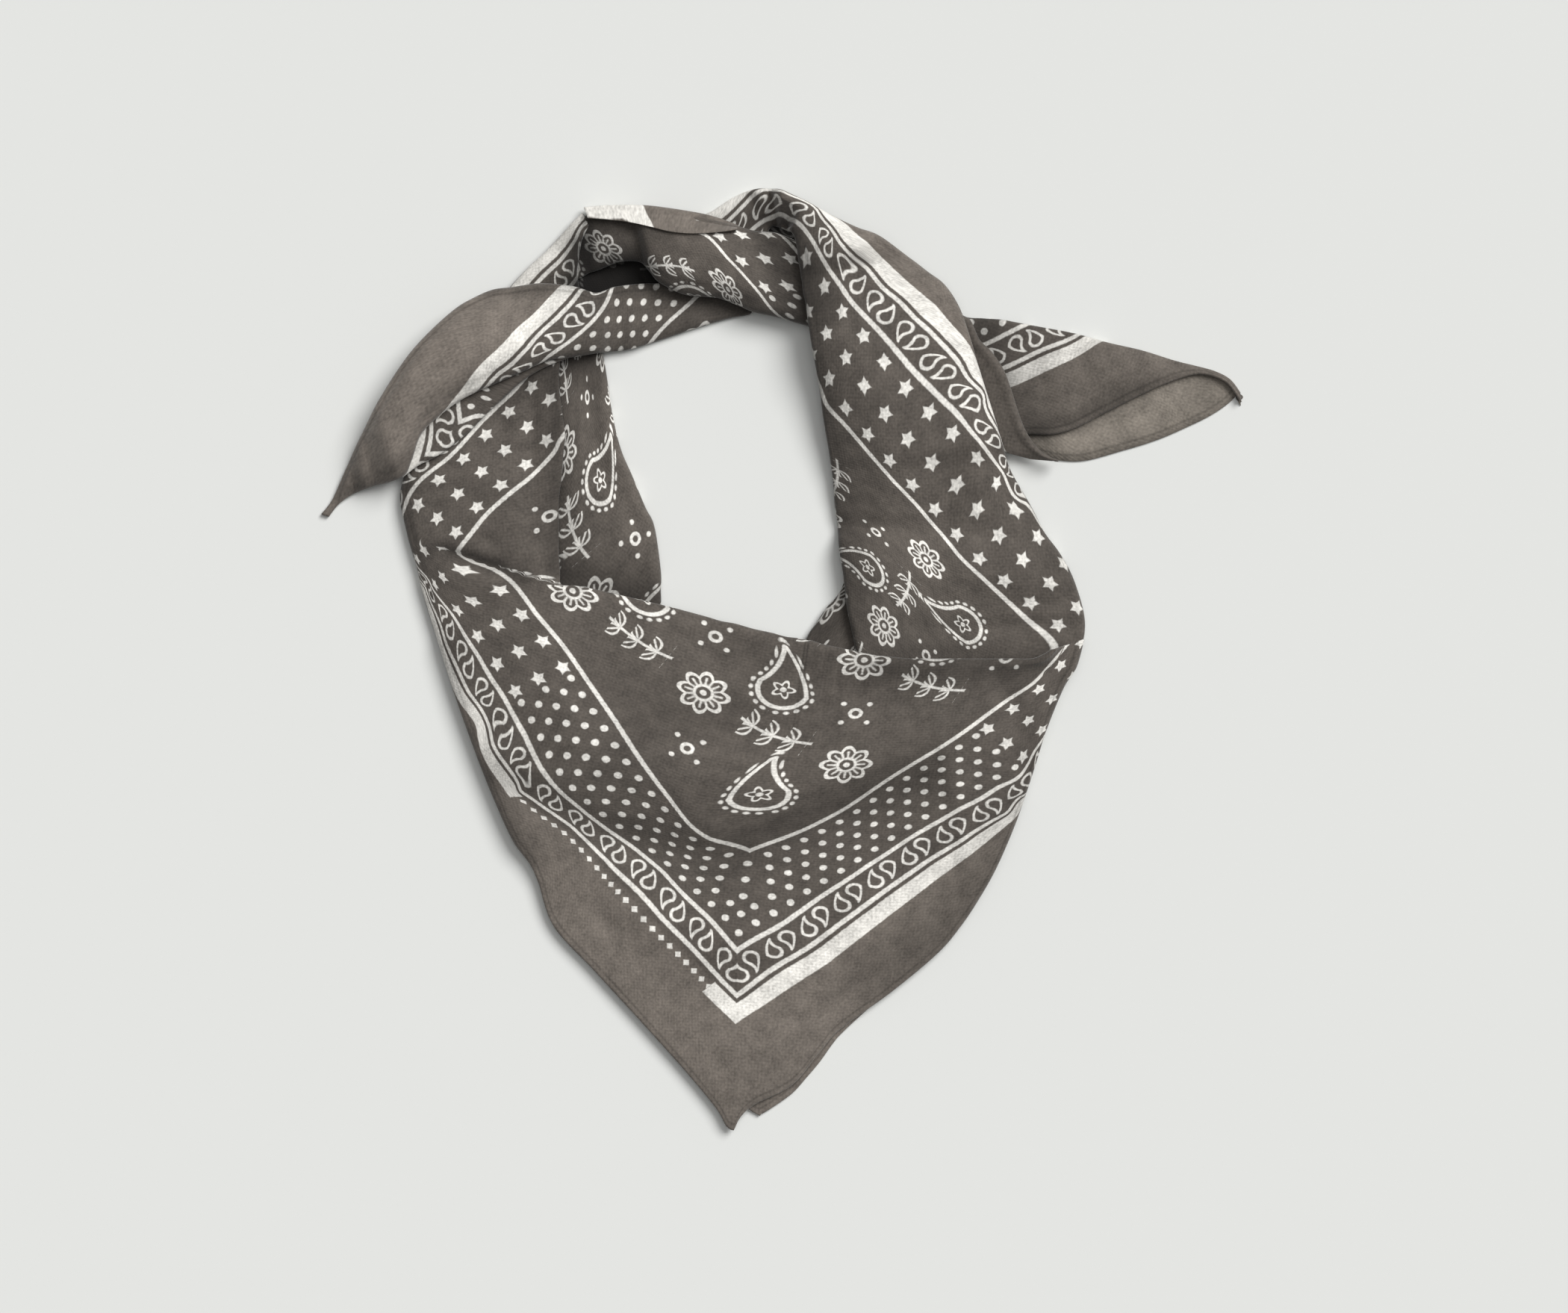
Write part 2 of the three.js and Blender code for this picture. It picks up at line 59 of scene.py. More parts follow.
# The cloth, mm
WALL = 0.7  # one ply with its drape
LIE = 1.4  # from the middle of one ply to the middle of the next
FLOOR = 0.5
HEM_LOFT = 1.5
HEM_TUCK = 1.6
SIDE_TUCK = 12.0
NECK_TUCK = 8.0

# Lofts of the rolled edges, mm
NECK_LOFT = 5.0
NECK_RUN_LOFT = 2.2
PANEL_LOFT = 4.0
PANEL_SIDE_LOFT = 5.0
LEFT_ARM_LOFT = 6.0
ARM_LOFT = 7.0
ARM_INNER_LOFT = 4.0
ARM_END_LOFT = 3.0
RETURN_LOFT = 3.0
CROSSING_LOFT = 7.0
OVER_KNOT_LOFT = 6.0
LEFT_TAIL_LOFT = 6.0
RIGHT_TAIL_LOFT = 3.0

# Heights of the middle of a ply that lies on the floor, or on what is below it, mm
ON_BACK = FLOOR + LIE
ON_BACK_HEM = ON_BACK + 1.2
ON_NECK_RUN = ON_BACK + NECK_RUN_LOFT + LIE
ON_LEFT_NECK = FLOOR + NECK_LOFT + LIE
ON_ARM_END = FLOOR + ARM_END_LOFT + LIE
ON_ARM_INNER = ON_NECK_RUN + ARM_INNER_LOFT + LIE
ON_LEFT_ARM = ON_LEFT_NECK + 1.2 + LIE
ON_RETURN = FLOOR + RETURN_LOFT + LIE
ON_CROSSING = ON_RETURN + CROSSING_LOFT + LIE
ON_RIGHT_TAIL = FLOOR + RIGHT_TAIL_LOFT + LIE + 0.8

# Grid of a sheet
ROW_STEP = 1.8  # mm
ROLL_STEPS = 8
TUCK_STEPS = 3
LEAF_STEPS = 8  # more steps in a tuck that shows as a leaf of its own
FAR_FROM_HEM = 99.0  # mm
CROWN_ROUND = 0.6  # under 1, a crown is flatter on top and steeper at its sides
LIFT_SPREAD = 6.0  # folds and creases reach their full height this near the rolls
LIFT_ROUND = 0.8
CREASE_WAVES = 7


class Hem(Enum):
    """Which edges of a sleeve are the square's own rolled edges."""

    NONE = "none"
    OUTER = "outer"
    INNER = "inner"


@dataclass(frozen=True)
class Section:
    """One cut across a sleeve: its two edges in plan and the heights of its rolls, mm."""

    outer: Point
    inner: Point
    outer_low: float
    outer_loft: float
    outer_tuck: float
    inner_low: float
    inner_loft: float
    inner_tuck: float
    crown: float = 0.0
    corner: bool = False


@dataclass(frozen=True)
class Fold:
    """A soft fold along a path: it stands up, or sinks where its height is negative."""

    path: Tuple[Point, ...]
    height: float
    reach: float


@dataclass(frozen=True)
class PrintedLine:
    """Points on the cloth whose place in the flat print is known.

    across is the distance from one edge of the square, along the distance from the other at the line's
    two ends; by_a says which of the two distances across is.
    """

    by_a: bool
    across: float
    along: Tuple[float, float]
    points: Tuple[Point, ...]

    def placed(self) -> Tuple[np.ndarray, np.ndarray]:
        """Give the plan places and the flat places of the line's points.

        Returns:
            Plan places in mm, and distances a and b from the two edges of the square.
        """
        plan = np.array(self.points, dtype=float)
        steps = np.hypot(*np.diff(plan, axis=0).T) if len(plan) > 1 else np.array([])
        run = np.concatenate([[0.0], np.cumsum(steps)])
        share = run / run[-1] if run[-1] > 0 else run
        along = self.along[0] + (self.along[1] - self.along[0]) * share
        across = np.full(len(plan), self.across)
        flat = np.stack([across, along] if self.by_a else [along, across], axis=1)
        return plan, flat


class PrintMap:
    """A smooth map from plan places to flat places, bent through the printed lines."""

    SCALE = 50.0  # mm
    SOFTNESS = 2e-4

    def __init__(self, lines: Sequence[PrintedLine]) -> None:
        """Solve the map.

        Args:
            lines: printed lines with their places.
        """
        plan, flat = zip(*(line.placed() for line in lines))
        self.knots = np.concatenate(plan) / self.SCALE
        count = len(self.knots)
        block = self._reach(self.knots) + self.SOFTNESS * np.eye(count)
        edge = np.hstack([np.ones((count, 1)), self.knots])
        system = np.block([[block, edge], [edge.T, np.zeros((3, 3))]])
        wanted = np.vstack([np.concatenate(flat), np.zeros((3, 2))])
        self.weights = np.linalg.lstsq(system, wanted, rcond=None)[0]

    def _reach(self, places: np.ndarray) -> np.ndarray:
        """Give the thin-plate term between places and the knots."""
        gap = np.linalg.norm(places[:, None, :] - self.knots[None, :, :], axis=2)
        return gap**2 * np.log(np.maximum(gap, 1e-9))

    def flat(self, places: np.ndarray) -> np.ndarray:
        """Give the flat places of plan places.

        Args:
            places: array of plan places, mm, one a row.

        Returns:
            Distances a and b from the two edges of the square, one pair a row.
        """
        scaled = places / self.SCALE
        terms = np.hstack([self._reach(scaled), np.ones((len(scaled), 1)), scaled])
        return terms @ self.weights


def distance_to_path(places: np.ndarray, path: Sequence[Point]) -> Tuple[np.ndarray, np.ndarray]:
    """Measure how far places lie from a path, and how far along it.

    Args:
        places: plan places, one a row.
        path: corners of the path.

    Returns:
        Distance to the path, and the share of its length at the nearest point.
    """
    knots = np.array(path, dtype=float)
    lengths = np.hypot(*np.diff(knots, axis=0).T)
    best = np.full(len(places), np.inf)
    share = np.zeros(len(places))
    run = 0.0
    for start, end, length in zip(knots[:-1], knots[1:], lengths):
        along = (end - start) / length
        reach = np.clip((places - start) @ along, 0, length)
        gap = np.linalg.norm(places - start - reach[:, None] * along, axis=1)
        nearer = gap < best
        best = np.where(nearer, gap, best)
        share = np.where(nearer, (run + reach) / lengths.sum(), share)
        run += length
    return best, share


def creases(places: np.ndarray, seed: int, size: float, long_way: float) -> np.ndarray:
    """Give the height of fine random creases, from a few seeded waves.

    Args:
        places: plan places, mm.
        seed: number that fixes the draw.
        size: typical spacing of the creases, mm.
        long_way: direction the creases run in, radians.

    Returns:
        Heights between about -1 and 1.
    """
    draw = np.random.default_rng(seed)
    total = np.zeros(len(places))
    for _ in range(CREASE_WAVES):
        turn = long_way + math.pi / 2 + draw.normal(0, 0.45)
        pitch = size * draw.uniform(0.7, 1.8)
        bend = draw.uniform(0, 2 * math.pi)
        across = places @ np.array([math.cos(turn), math.sin(turn)])
        beside = places @ np.array([-math.sin(turn), math.cos(turn)])
        sway = 2.5 * np.sin(beside * 2 * math.pi / (size * 5) + bend)
        total += np.sin(2 * math.pi * (across + sway) / pitch + bend * 3)
    return total / CREASE_WAVES


def smooth_rows(sections: Sequence[Section]) -> List[Dict[str, np.ndarray]]:
    """Fill in rows between the sections of a sleeve.

    Args:
        sections: the sections, in order.

    Returns:
        One dictionary a row, with the names of Section.
    """
    plain = [
        {name: np.array(getattr(cut, name), dtype=float) for name in Section.__dataclass_fields__}
        for cut in sections
    ]
    rows = []
    for i in range(len(plain) - 1):
        start, end = plain[i], plain[i + 1]
        before = start if i == 0 or sections[i].corner else plain[i - 1]
        after = end if i == len(plain) - 2 or sections[i + 1].corner else plain[i + 2]
        span = max(np.linalg.norm(end[side] - start[side]) for side in ("outer", "inner"))
        steps = max(1, math.ceil(span / ROW_STEP))
        for step in range(steps + (i == len(plain) - 2)):
            share = step / steps
            ease = share * share * (3 - 2 * share)
            row = {name: start[name] + (end[name] - start[name]) * ease for name in start}
            for side in ("outer", "inner", "outer_tuck", "inner_tuck"):
                row[side] = catmull_rom(before[side], start[side], end[side], after[side], share)
            rows.append(row)
    return rows


def catmull_rom(p0: np.ndarray, p1: np.ndarray, p2: np.ndarray, p3: np.ndarray, t: float) -> np.ndarray:
    """Give a point on a smooth curve between the middle two of four points.

    Args:
        p0, p1, p2, p3: the points, in order.
        t: share of the way from p1 to p2.

    Returns:
        The point.
    """
    slope_in = (p2 - p0) / 2
    slope_out = (p3 - p1) / 2
    bend = 2 * (p1 - p2) + slope_in + slope_out
    return p1 + slope_in * t + (p2 - p1 - slope_in - bend) * t * t + bend * t**3


def both_sides(heights: Mapping[str, float]) -> Dict[str, float]:
    """Spell out the heights that hold for both sides of a section.

    Args:
        heights: names of Section with their values; low, loft and tuck stand for both sides.

    Returns:
        The same, with a name for each side.
    """
    found = {}
    for name, value in heights.items():
        sides = (f"outer_{name}", f"inner_{name}") if name in ("low", "loft", "tuck") else (name,)
        found.update(dict.fromkeys(sides, value))
    return found


def cuts(first: Mapping[str, float], *steps: Tuple) -> Tuple[Section, ...]:
    """Make the sections of a sleeve from short rows.

    Args:
        first: heights of the first section, as both_sides reads them.
        steps: rows of outer x, outer y, inner x, inner y, and where they change, the same for heights.

    Returns:
        The sections, each keeping what the row before it says.
    """
    heights = both_sides(first)
    found = []
    for step in steps:
        heights.pop("corner", None)
        if len(step) > 4:
            heights.update(both_sides(step[4]))
        found.append(Section(outer=(step[0], step[1]), inner=(step[2], step[3]), **heights))
    return tuple(found)


@dataclass
class Sleeve:
    """A stretch of folded cloth, as one sheet.

    lines place its print; upper places the print above parting, a tuck that swallows cloth. folds move
    it up or down, and dye, on the same paths, says where it is worn pale or still deep. long_leaf is a
    sleeve whose outer tuck shows as a leaf of its own, with the plain border and a hem.
    """

    name: str
    sections: Tuple[Section, ...]
    lines: Tuple[PrintedLine, ...]
    flat: Tuple[float, float]
    area: Optional[float] = None
    folds: Tuple[Fold, ...] = ()
    shading_spots: Tuple[Fold, ...] = ()
    painted_shading: float = 1.0
    upper: Tuple[PrintedLine, ...] = ()
    parting: Tuple[Point, ...] = ()
    held: str = "folded"
    rests_on: Tuple[str, ...] = ("floor",)
    stands_for: Tuple[str, ...] = ()
    hem: Hem = Hem.NONE
    fall: float = 1.0
    long_leaf: bool = False
    crease_height: float = 0.25
    crease_size: float = 22.0
    crease_run: float = 0.8
    seed: int = 1

    # How wide a jump of the print is: from x to x, and from width to width, mm
    JUMP = ([-132.0, -115.0], [14.0, 1.0])
    # Where the print of a leaf that shows its plain border lies, and how fast it runs along, mm
    LEAF_START = 500.0
    LEAF_RUN = 1.5

    def build(self, materials: Sequence[bpy.types.Material]) -> bpy.types.Object:
        """Make the sheet as a finished object.

        Args:
            materials: the face and the reverse of the cloth.

        Returns:
            The object, with its walls applied.
        """
        plan, height, unrolled, hem = self._grid()
        rows, count = height.shape
        flat = self._printed(unrolled.reshape(-1, 2))
        if self.long_leaf:
            leaf = np.arange(rows * count) % count < TUCK_STEPS + LEAF_STEPS
            down = self.LEAF_START + self.LEAF_RUN * (np.arange(rows * count) // count)
            flat[leaf] = np.stack([hem.reshape(-1)[leaf] + 1.0, down[leaf]], axis=1)
        places = np.concatenate([plan.reshape(-1, 2) + FRAME_SHIFT, height.reshape(-1, 1)], axis=1) * MM
        index = np.arange(rows * count).reshape(rows, count)
        quads = np.stack(
            [index[:-1, :-1], index[:-1, 1:], index[1:, 1:], index[1:, :-1]], axis=-1
        ).reshape(-1, 4)
        mesh = bpy.data.meshes.new(self.name)
        mesh.from_pydata(places.tolist(), [], quads.tolist())
        self._face_up(mesh, rows, count)
        uv = mesh.uv_layers.new(name="print")
        corner = np.empty(len(mesh.loops), dtype=np.int32)
        mesh.loops.foreach_get("vertex_index", corner)
        uv.data.foreach_set("uv", (flat[corner] / SQUARE).astype(np.float32).ravel())
        # Painted shading: a factor for each point that darkens or lightens the cloth's colour.
        for name, values in (("hem", hem.reshape(-1)), ("painted_shading", self._painted_shade_factor(plan.reshape(-1, 2)))):
            layer = mesh.attributes.new(name, "FLOAT", "POINT")
            layer.data.foreach_set("value", values.astype(np.float32))
        mesh.polygons.foreach_set("use_smooth", [True] * len(mesh.polygons))
        piece = bpy.data.objects.new(self.name, mesh)
        bpy.context.scene.collection.objects.link(piece)
        for material in materials:
            mesh.materials.append(material)
        self._thicken(piece)
        LOG.info("%s: %d faces", self.name, len(piece.data.polygons))
        return piece

    def _printed(self, places: np.ndarray) -> np.ndarray:
        """Give the flat places of the sheet's points, with a jump at a tuck that swallows cloth.

        Args:
            places: unrolled plan places, mm, one a row.

        Returns:
            Distances from the two edges of the square, one pair a row.
        """
        flat = PrintMap(self.lines).flat(places)
        if not self.parting:
            return flat
        across, up = np.array(self.parting).T
        soft = np.interp(places[:, 0], *self.JUMP)
        share = np.clip((places[:, 1] - np.interp(places[:, 0], across, up)) / soft + 0.5, 0, 1)[:, None]
        return flat + (PrintMap(self.upper).flat(places) - flat) * share * share * (3 - 2 * share)

    def _painted_shade_factor(self, places: np.ndarray) -> np.ndarray:
        """Give how light the dye is: worn pale on the crowns, still deep in the hollows.

        Args:
            places: plan places, mm, one a row.

        Returns:
            One factor for each place.
        """
        # Painted shade and light: start from the sleeve's own factor, then darken or lighten near each
        # spot's path.
        painted_shading = np.full(len(places), self.painted_shading)
        for patch in self.shading_spots:
            gap, _ = distance_to_path(places, patch.path)
            painted_shading = painted_shading * (1 + patch.height * np.exp(-((gap / patch.reach) ** 2)))
        return painted_shading

    def _thicken(self, piece: bpy.types.Object) -> None:
        """Give the sheet its wall and apply it.

        Args:
            piece: the sheet, still a bare surface.
        """
        bpy.ops.object.select_all(action="DESELECT")
        piece.select_set(True)
        bpy.context.view_layer.objects.active = piece
        wall = piece.modifiers.new("wall", "SOLIDIFY")
        wall.thickness = WALL * MM
        wall.offset = 0.0
        wall.material_offset = 1
        wall.material_offset_rim = 0
        bpy.ops.object.modifier_apply(modifier=wall.name)

    def _face_up(self, mesh: bpy.types.Mesh, rows: int, count: int) -> None:
        """Turn the faces so that the top of the sheet looks up.

        Args:
            mesh: the sheet's mesh.
            rows: rows of its points.
            count: points in a row.
        """
        mesh.update()
        normals = np.empty(len(mesh.polygons) * 3)
        mesh.polygons.foreach_get("normal", normals)
        upward = normals.reshape(rows - 1, count - 1, 3)[:, :, 2]
        if upward[:, self._lead():count - ROLL_STEPS - TUCK_STEPS - 1].sum() < 0:
            mesh.flip_normals()

    def _lead(self) -> int:
        """Give how many points come before the top of a section."""
        return TUCK_STEPS + (LEAF_STEPS if self.long_leaf else 0) + ROLL_STEPS

    def _grid(self) -> Tuple[np.ndarray, np.ndarray, np.ndarray, np.ndarray]:
        """Lay out the points of the sheet.

        Returns:
            Plan places, heights, unrolled plan places and distances from the hem, in rows.
        """
        rows = smooth_rows(self.sections)
        widest = max(np.linalg.norm(row["inner"] - row["outer"]) for row in rows)
        top_steps = max(6, math.ceil(widest / ROW_STEP))
        plan, height, unrolled, hem = [], [], [], []
        for row in rows:
            width = float(np.linalg.norm(row["inner"] - row["outer"]))
            across = (row["inner"] - row["outer"]) / width
            far, up, run = self._section(row, width, top_steps)
            plan.append(row["outer"] + far[:, None] * across)
            unrolled.append(row["outer"] + run[:, None] * across)
            height.append(up)
            hem.append(self._from_hem(run, width))
        plan, height, unrolled = np.array(plan), np.array(height), np.array(unrolled)
        return plan, self._draped(plan, height), unrolled, np.array(hem)

    def _from_hem(self, run: np.ndarray, width: float) -> np.ndarray:
        """Measure how far points lie from a rolled edge of the square.

        Args:
            run: distance along the cloth from the section's outer edge, mm.
            width: the section's width, mm.

        Returns:
            One distance for each point, mm.
        """
        far = np.full(len(run), FAR_FROM_HEM)
        outer = np.abs(run) if self.hem is Hem.OUTER else far
        inner = np.abs(width - run) if self.hem is Hem.INNER else far
        leaf = run - run[0] if self.long_leaf else far
        return np.minimum(np.minimum(outer, inner), leaf)

    def _section(self, row: Mapping[str, np.ndarray], width: float, top_steps: int) -> Tuple:
        """Draw the middle line of one section.

        Args:
            row: the section's sizes.
            width: from its outer to its inner edge, mm.
            top_steps: steps over its top.

        Returns:
            Distance from the outer edge, height, and distance along the cloth, for each point.
        """
        start, end = WALL / 2, width - WALL / 2
        outer_r = min(float(row["outer_loft"]) / 2, (end - start) / 4)
        inner_r = min(float(row["inner_loft"]) / 2, (end - start) / 4)
        room = end - start - outer_r - inner_r
        outer_tuck = float(row["outer_tuck"])
        if not self.long_leaf:
            outer_tuck = min(outer_tuck, room / 2 - WALL)
        inner_tuck = min(float(row["inner_tuck"]), room / 2 - WALL)
        first, last = start + outer_r, end - inner_r
        low_o, low_i = float(row["outer_low"]), float(row["inner_low"])
        back = np.linspace(1, 0, self._lead() - ROLL_STEPS, endpoint=False)
        angle = np.linspace(0, math.pi, ROLL_STEPS, endpoint=False)
        share = np.linspace(0, 1, top_steps + 1)
        rise = share**self.fall
        opened = (4 * share * (1 - share)) ** CROWN_ROUND
        top = low_o + 2 * outer_r + (low_i + 2 * inner_r - low_o - 2 * outer_r) * rise
        top = top + float(row["crown"]) * opened
        turn = np.linspace(0, math.pi, ROLL_STEPS + 1)[1:]
        under = np.linspace(0, 1, TUCK_STEPS + 1)[1:]
        far = np.concatenate([
            first + outer_tuck * back,
            first - outer_r * np.sin(angle),
            first + (last - first) * share,
            last + inner_r * np.sin(turn),
            last - inner_tuck * under,
        ])
        up = np.concatenate([
            np.full(len(back), low_o),
            low_o + outer_r * (1 - np.cos(angle)),
            top,
            low_i + inner_r * (1 + np.cos(turn)),
            np.full(len(under), low_i),
        ])
        run = np.concatenate([
            first - math.pi * outer_r - outer_tuck * back,
            first - outer_r * (math.pi - angle),
            first + (last - first) * share,
            last + inner_r * turn,
            last + math.pi * inner_r + inner_tuck * under,
        ])
        return far, up, run

    def _draped(self, plan: np.ndarray, height: np.ndarray) -> np.ndarray:
        """Add the folds and the fine creases to the top of the sheet.

        Args:
            plan: plan places of the points, mm.
            height: their heights, mm.

        Returns:
            The new heights, mm.
        """
        rows, count = height.shape
        lead = self._lead()
        top_count = count - lead - ROLL_STEPS - TUCK_STEPS
        share = np.linspace(0, 1, top_count)
        opened = np.zeros(count)
        opened[lead:lead + top_count] = np.minimum(1.0, LIFT_SPREAD * share * (1 - share)) ** LIFT_ROUND
        places = plan.reshape(-1, 2)
        lift = self.crease_height * creases(places, self.seed, self.crease_size, self.crease_run)
        for fold in self.folds:
            gap, along = distance_to_path(places, fold.path)
            taper = np.clip(np.minimum(along, 1 - along) * 5, 0, 1)
            taper = taper * taper * (3 - 2 * taper)
            lift = lift + fold.height * taper * np.exp(-((gap / fold.reach) ** 2))
        return height + lift.reshape(rows, count) * opened[None, :]


def finish_sheet(piece: bpy.types.Object, plan: Sleeve) -> None:
    """Tell the frame what a sheet is.

    Args:
        piece: the finished sheet.
        plan: the sleeve that it was made from.
    """
    if plan.stands_for:
        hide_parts(*plan.stands_for)
    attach(piece, "root")


def linear(colour: str) -> Tuple[float, float, float, float]:
    """Turn an sRGB hex colour to linear light."""
    parts = [int(colour[i:i + 2], 16) / 255 for i in (1, 3, 5)]
    return (*(p / 12.92 if p <= 0.04045 else ((p + 0.055) / 1.055) ** 2.4 for p in parts), 1.0)


def add_node(
    tree: bpy.types.NodeTree,
    kind: str,
    settings: Optional[Mapping[str, object]] = None,
    inputs: Optional[Mapping[Union[int, str], object]] = None,
) -> bpy.types.Node:
    """Add a node with its settings and links.

    Args:
        tree: the tree it goes in.
        kind: the node's type.
        settings: its properties.
        inputs: a number, colour or link for each input.

    Returns:
        The node.
    """
    node = tree.nodes.new(kind)
    for name, value in (settings or {}).items():
        setattr(node, name, value)
    for name, value in (inputs or {}).items():
        value = value.socket if isinstance(value, Field) else value
        if isinstance(value, bpy.types.NodeSocket):
            tree.links.new(value, node.inputs[name])
        else:
            node.inputs[name].default_value = value
    return node


def by_node(kind: str, says: str) -> Callable[..., "Field"]:
    """Make a method of Field that runs one math node.

    Args:
        kind: the node's operation.
        says: what the method does.

    Returns:
        The method.
    """
    def method(self: "Field", *others: Union["Field", float]) -> "Field":
        return self.math(kind, *others)

    method.__doc__ = says
    return method


@dataclass(frozen=True)
class Field:
    """A number that changes over the cloth."""

    tree: bpy.types.NodeTree
    socket: bpy.types.NodeSocket

    def math(self, operation: str, *others: Union["Field", float]) -> "Field":
        """Work out a new number from this one and others.

        Args:
            operation: the math node's operation.
            others: its other inputs.

        Returns:
            The new number.
        """
        inputs = dict(enumerate((self, *others)))
        node = add_node(self.tree, "ShaderNodeMath", {"operation": operation}, inputs)
        return Field(self.tree, node.outputs[0])

    __add__ = by_node("ADD", "Add.")
    __sub__ = by_node("SUBTRACT", "Subtract.")
    __mul__ = by_node("MULTIPLY", "Multiply.")
    __truediv__ = by_node("DIVIDE", "Divide.")
    __abs__ = by_node("ABSOLUTE", "Drop the sign.")
    low = by_node("MINIMUM", "Take the lower.")
    high = by_node("MAXIMUM", "Take the higher.")
    at_most = by_node("LESS_THAN", "Give 1 where the number is under a limit.")

    def clamp(self, low: float = 0.0, high: float = 1.0) -> "Field":
        """Hold between two numbers."""
        return self.high(low).low(high)

    def within(self, pitch: float) -> "Field":
        """Measure from the middle of the nearest repeat."""
        return self.math("WRAP", pitch / 2, -pitch / 2)

    def hypot(self, other: "Field") -> "Field":
        """Take the length of two sides."""
        return (self * self + other * other).math("SQRT")

    def between(self, low: float, high: float) -> "Field":
        """Measure how far outside a range the number is."""
        return abs(self - (low + high) / 2) - (high - low) / 2


def turned(x: Field, y: Field, degrees: float) -> Tuple[Field, Field]:
    """Turn a pair of coordinates."""
    c, s = math.cos(math.radians(degrees)), math.sin(math.radians(degrees))
    return x * c + y * s, y * c - x * s


@dataclass(frozen=True)
class BandanaPrint:
    """The off-white print: a traditional border of stripe, drops, stars and dots round a field.

    Sizes are in mm of flat cloth, measured from its edge.
    """

    stripe: Tuple[float, float] = (28.0, 34.5)
    line_places: Tuple[float, ...] = (37.0, 49.5, 82.5)
    line_width: float = 1.8
    lozenge_part: Tuple[float, float] = (46.0, 150.0)
    lozenge_pitch: float = 4.6
    lozenge_row: float = 31.4
    lozenge_size: float = 1.5
    drop_row: float = 43.3
    drop_pitch: float = 350.0 / 44
    drop_band: Tuple[float, float] = (38.0, 49.0)
    drop_length: float = 4.2
    drop_head: float = 2.6
    drop_taper: float = 2.3
    drop_line: float = 1.1
    star_middle: float = 66.0
    star_row: float = 11.0
    star_pitch: float = 350.0 / 27.5
    star_size: float = 3.1
    star_band: Tuple[float, float] = (52.0, 80.0)
    star_edge: Tuple[float, float] = (0.5155, 0.857)  # direction square to an edge of a point
    dot_row: float = 5.7
    dot_pitch: float = 7.8
    dot_size: float = 1.4
    dot_band: Tuple[float, float] = (53.0, 79.0)
    mitre_reach: float = 13.0
    star_start: float = 180.0
    field_start: float = 86.0
    cell: float = 52.0
    paisley_turn: float = 18.0  # degrees
    paisley_reach: float = 16.0
    paisley_length: float = 17.0
    paisley_head: float = 8.6
    paisley_taper: float = 7.8
    rosette_reach: float = 11.0
    sprig_turn: float = 70.0  # degrees
    sprig_reach: float = 13.0
    leaf_pitch: float = 7.6
    small_reach: float = 9.0

    def ink(self, a: Field, b: Field) -> Field:
        """Give how far each point lies outside the printed shapes.

        Args:
            a: distance from one edge, mm.
            b: distance from the other edge, mm.

        Returns:
            Distance in mm, below 0 inside a shape.
        """
        from_a = a.low(a * -1.0 + SQUARE)
        from_b = b.low(b * -1.0 + SQUARE)
        deep = from_a.low(from_b)
        along = from_a.high(from_b)
        by_a = from_a.at_most(from_b)
        shapes = self._stripe(deep, along, by_a, b)
        for place in self.line_places:
            shapes = shapes.low(abs(deep - place) - self.line_width / 2)
        shapes = shapes.low(self._drops(deep, along))
        shapes = shapes.low(self._stars(deep, along)).low(self._dots(deep, along))
        return shapes.low(self._field(a, b, deep))

    def _stripe(self, deep: Field, along: Field, by_a: Field, b: Field) -> Field:
        """Draw the broad stripe, with a row of small lozenges along one part of one side.

        Args:
            deep: distance from the nearest edge.
            along: distance from the next nearest.
            by_a: 1 where the nearest edge is the first.
            b: distance from the other edge.

        Returns:
            Distance outside the shapes.
        """
        band = deep.between(*self.stripe)
        lozenge_part = b.between(*self.lozenge_part).high(by_a * -9.0 + 4.0)
        beside = along.within(self.lozenge_pitch)
        lozenges = abs(beside) + abs(deep - self.lozenge_row) - self.lozenge_size
        return band.high(lozenge_part * -1.0).low(lozenges.high(lozenge_part))

    def _drops(self, deep: Field, along: Field) -> Field:
        """Draw the chain of small drops with hooked tips, every other one turned head down.

        Args:
            deep: distance from the nearest edge.
            along: distance from the next nearest.

        Returns:
            Distance outside the shapes.
        """
        beside = (along - self.drop_pitch / 2).within(self.drop_pitch)
        flip = along.within(self.drop_pitch * 2).at_most(0.0) * 2.0 - 1.0
        x = beside * flip
        y = (deep - self.drop_row) * flip + 1.0
        tip = y.high(0.0)
        x = x - tip * tip * 0.12 + y * 0.12
        rise = (y / self.drop_length).clamp()
        edge = x.hypot(y - rise * self.drop_length) - self.drop_head + rise * self.drop_taper
        return (abs(edge) - self.drop_line / 2).high(deep.between(*self.drop_band))

    def _stars(self, deep: Field, along: Field) -> Field:
        """Draw three rows of five-pointed stars.

        Args:
            deep: distance from the nearest edge.
            along: distance from the next nearest.

        Returns:
            Distance outside the shapes.
        """
        x = (along - self.star_pitch / 2).within(self.star_pitch)
        y = (deep - self.star_middle).within(self.star_row)
        angle = abs(y.math("ARCTAN2", x).math("WRAP", math.pi / 5, -math.pi / 5))
        far = x.hypot(y)
        out, side = self.star_edge
        star = (far * angle.math("COSINE") - self.star_size) * out + far * angle.math("SINE") * side
        placed = (deep - y).between(*self.star_band).high(along * -1.0 + x + self.star_start)
        return star.high(placed)

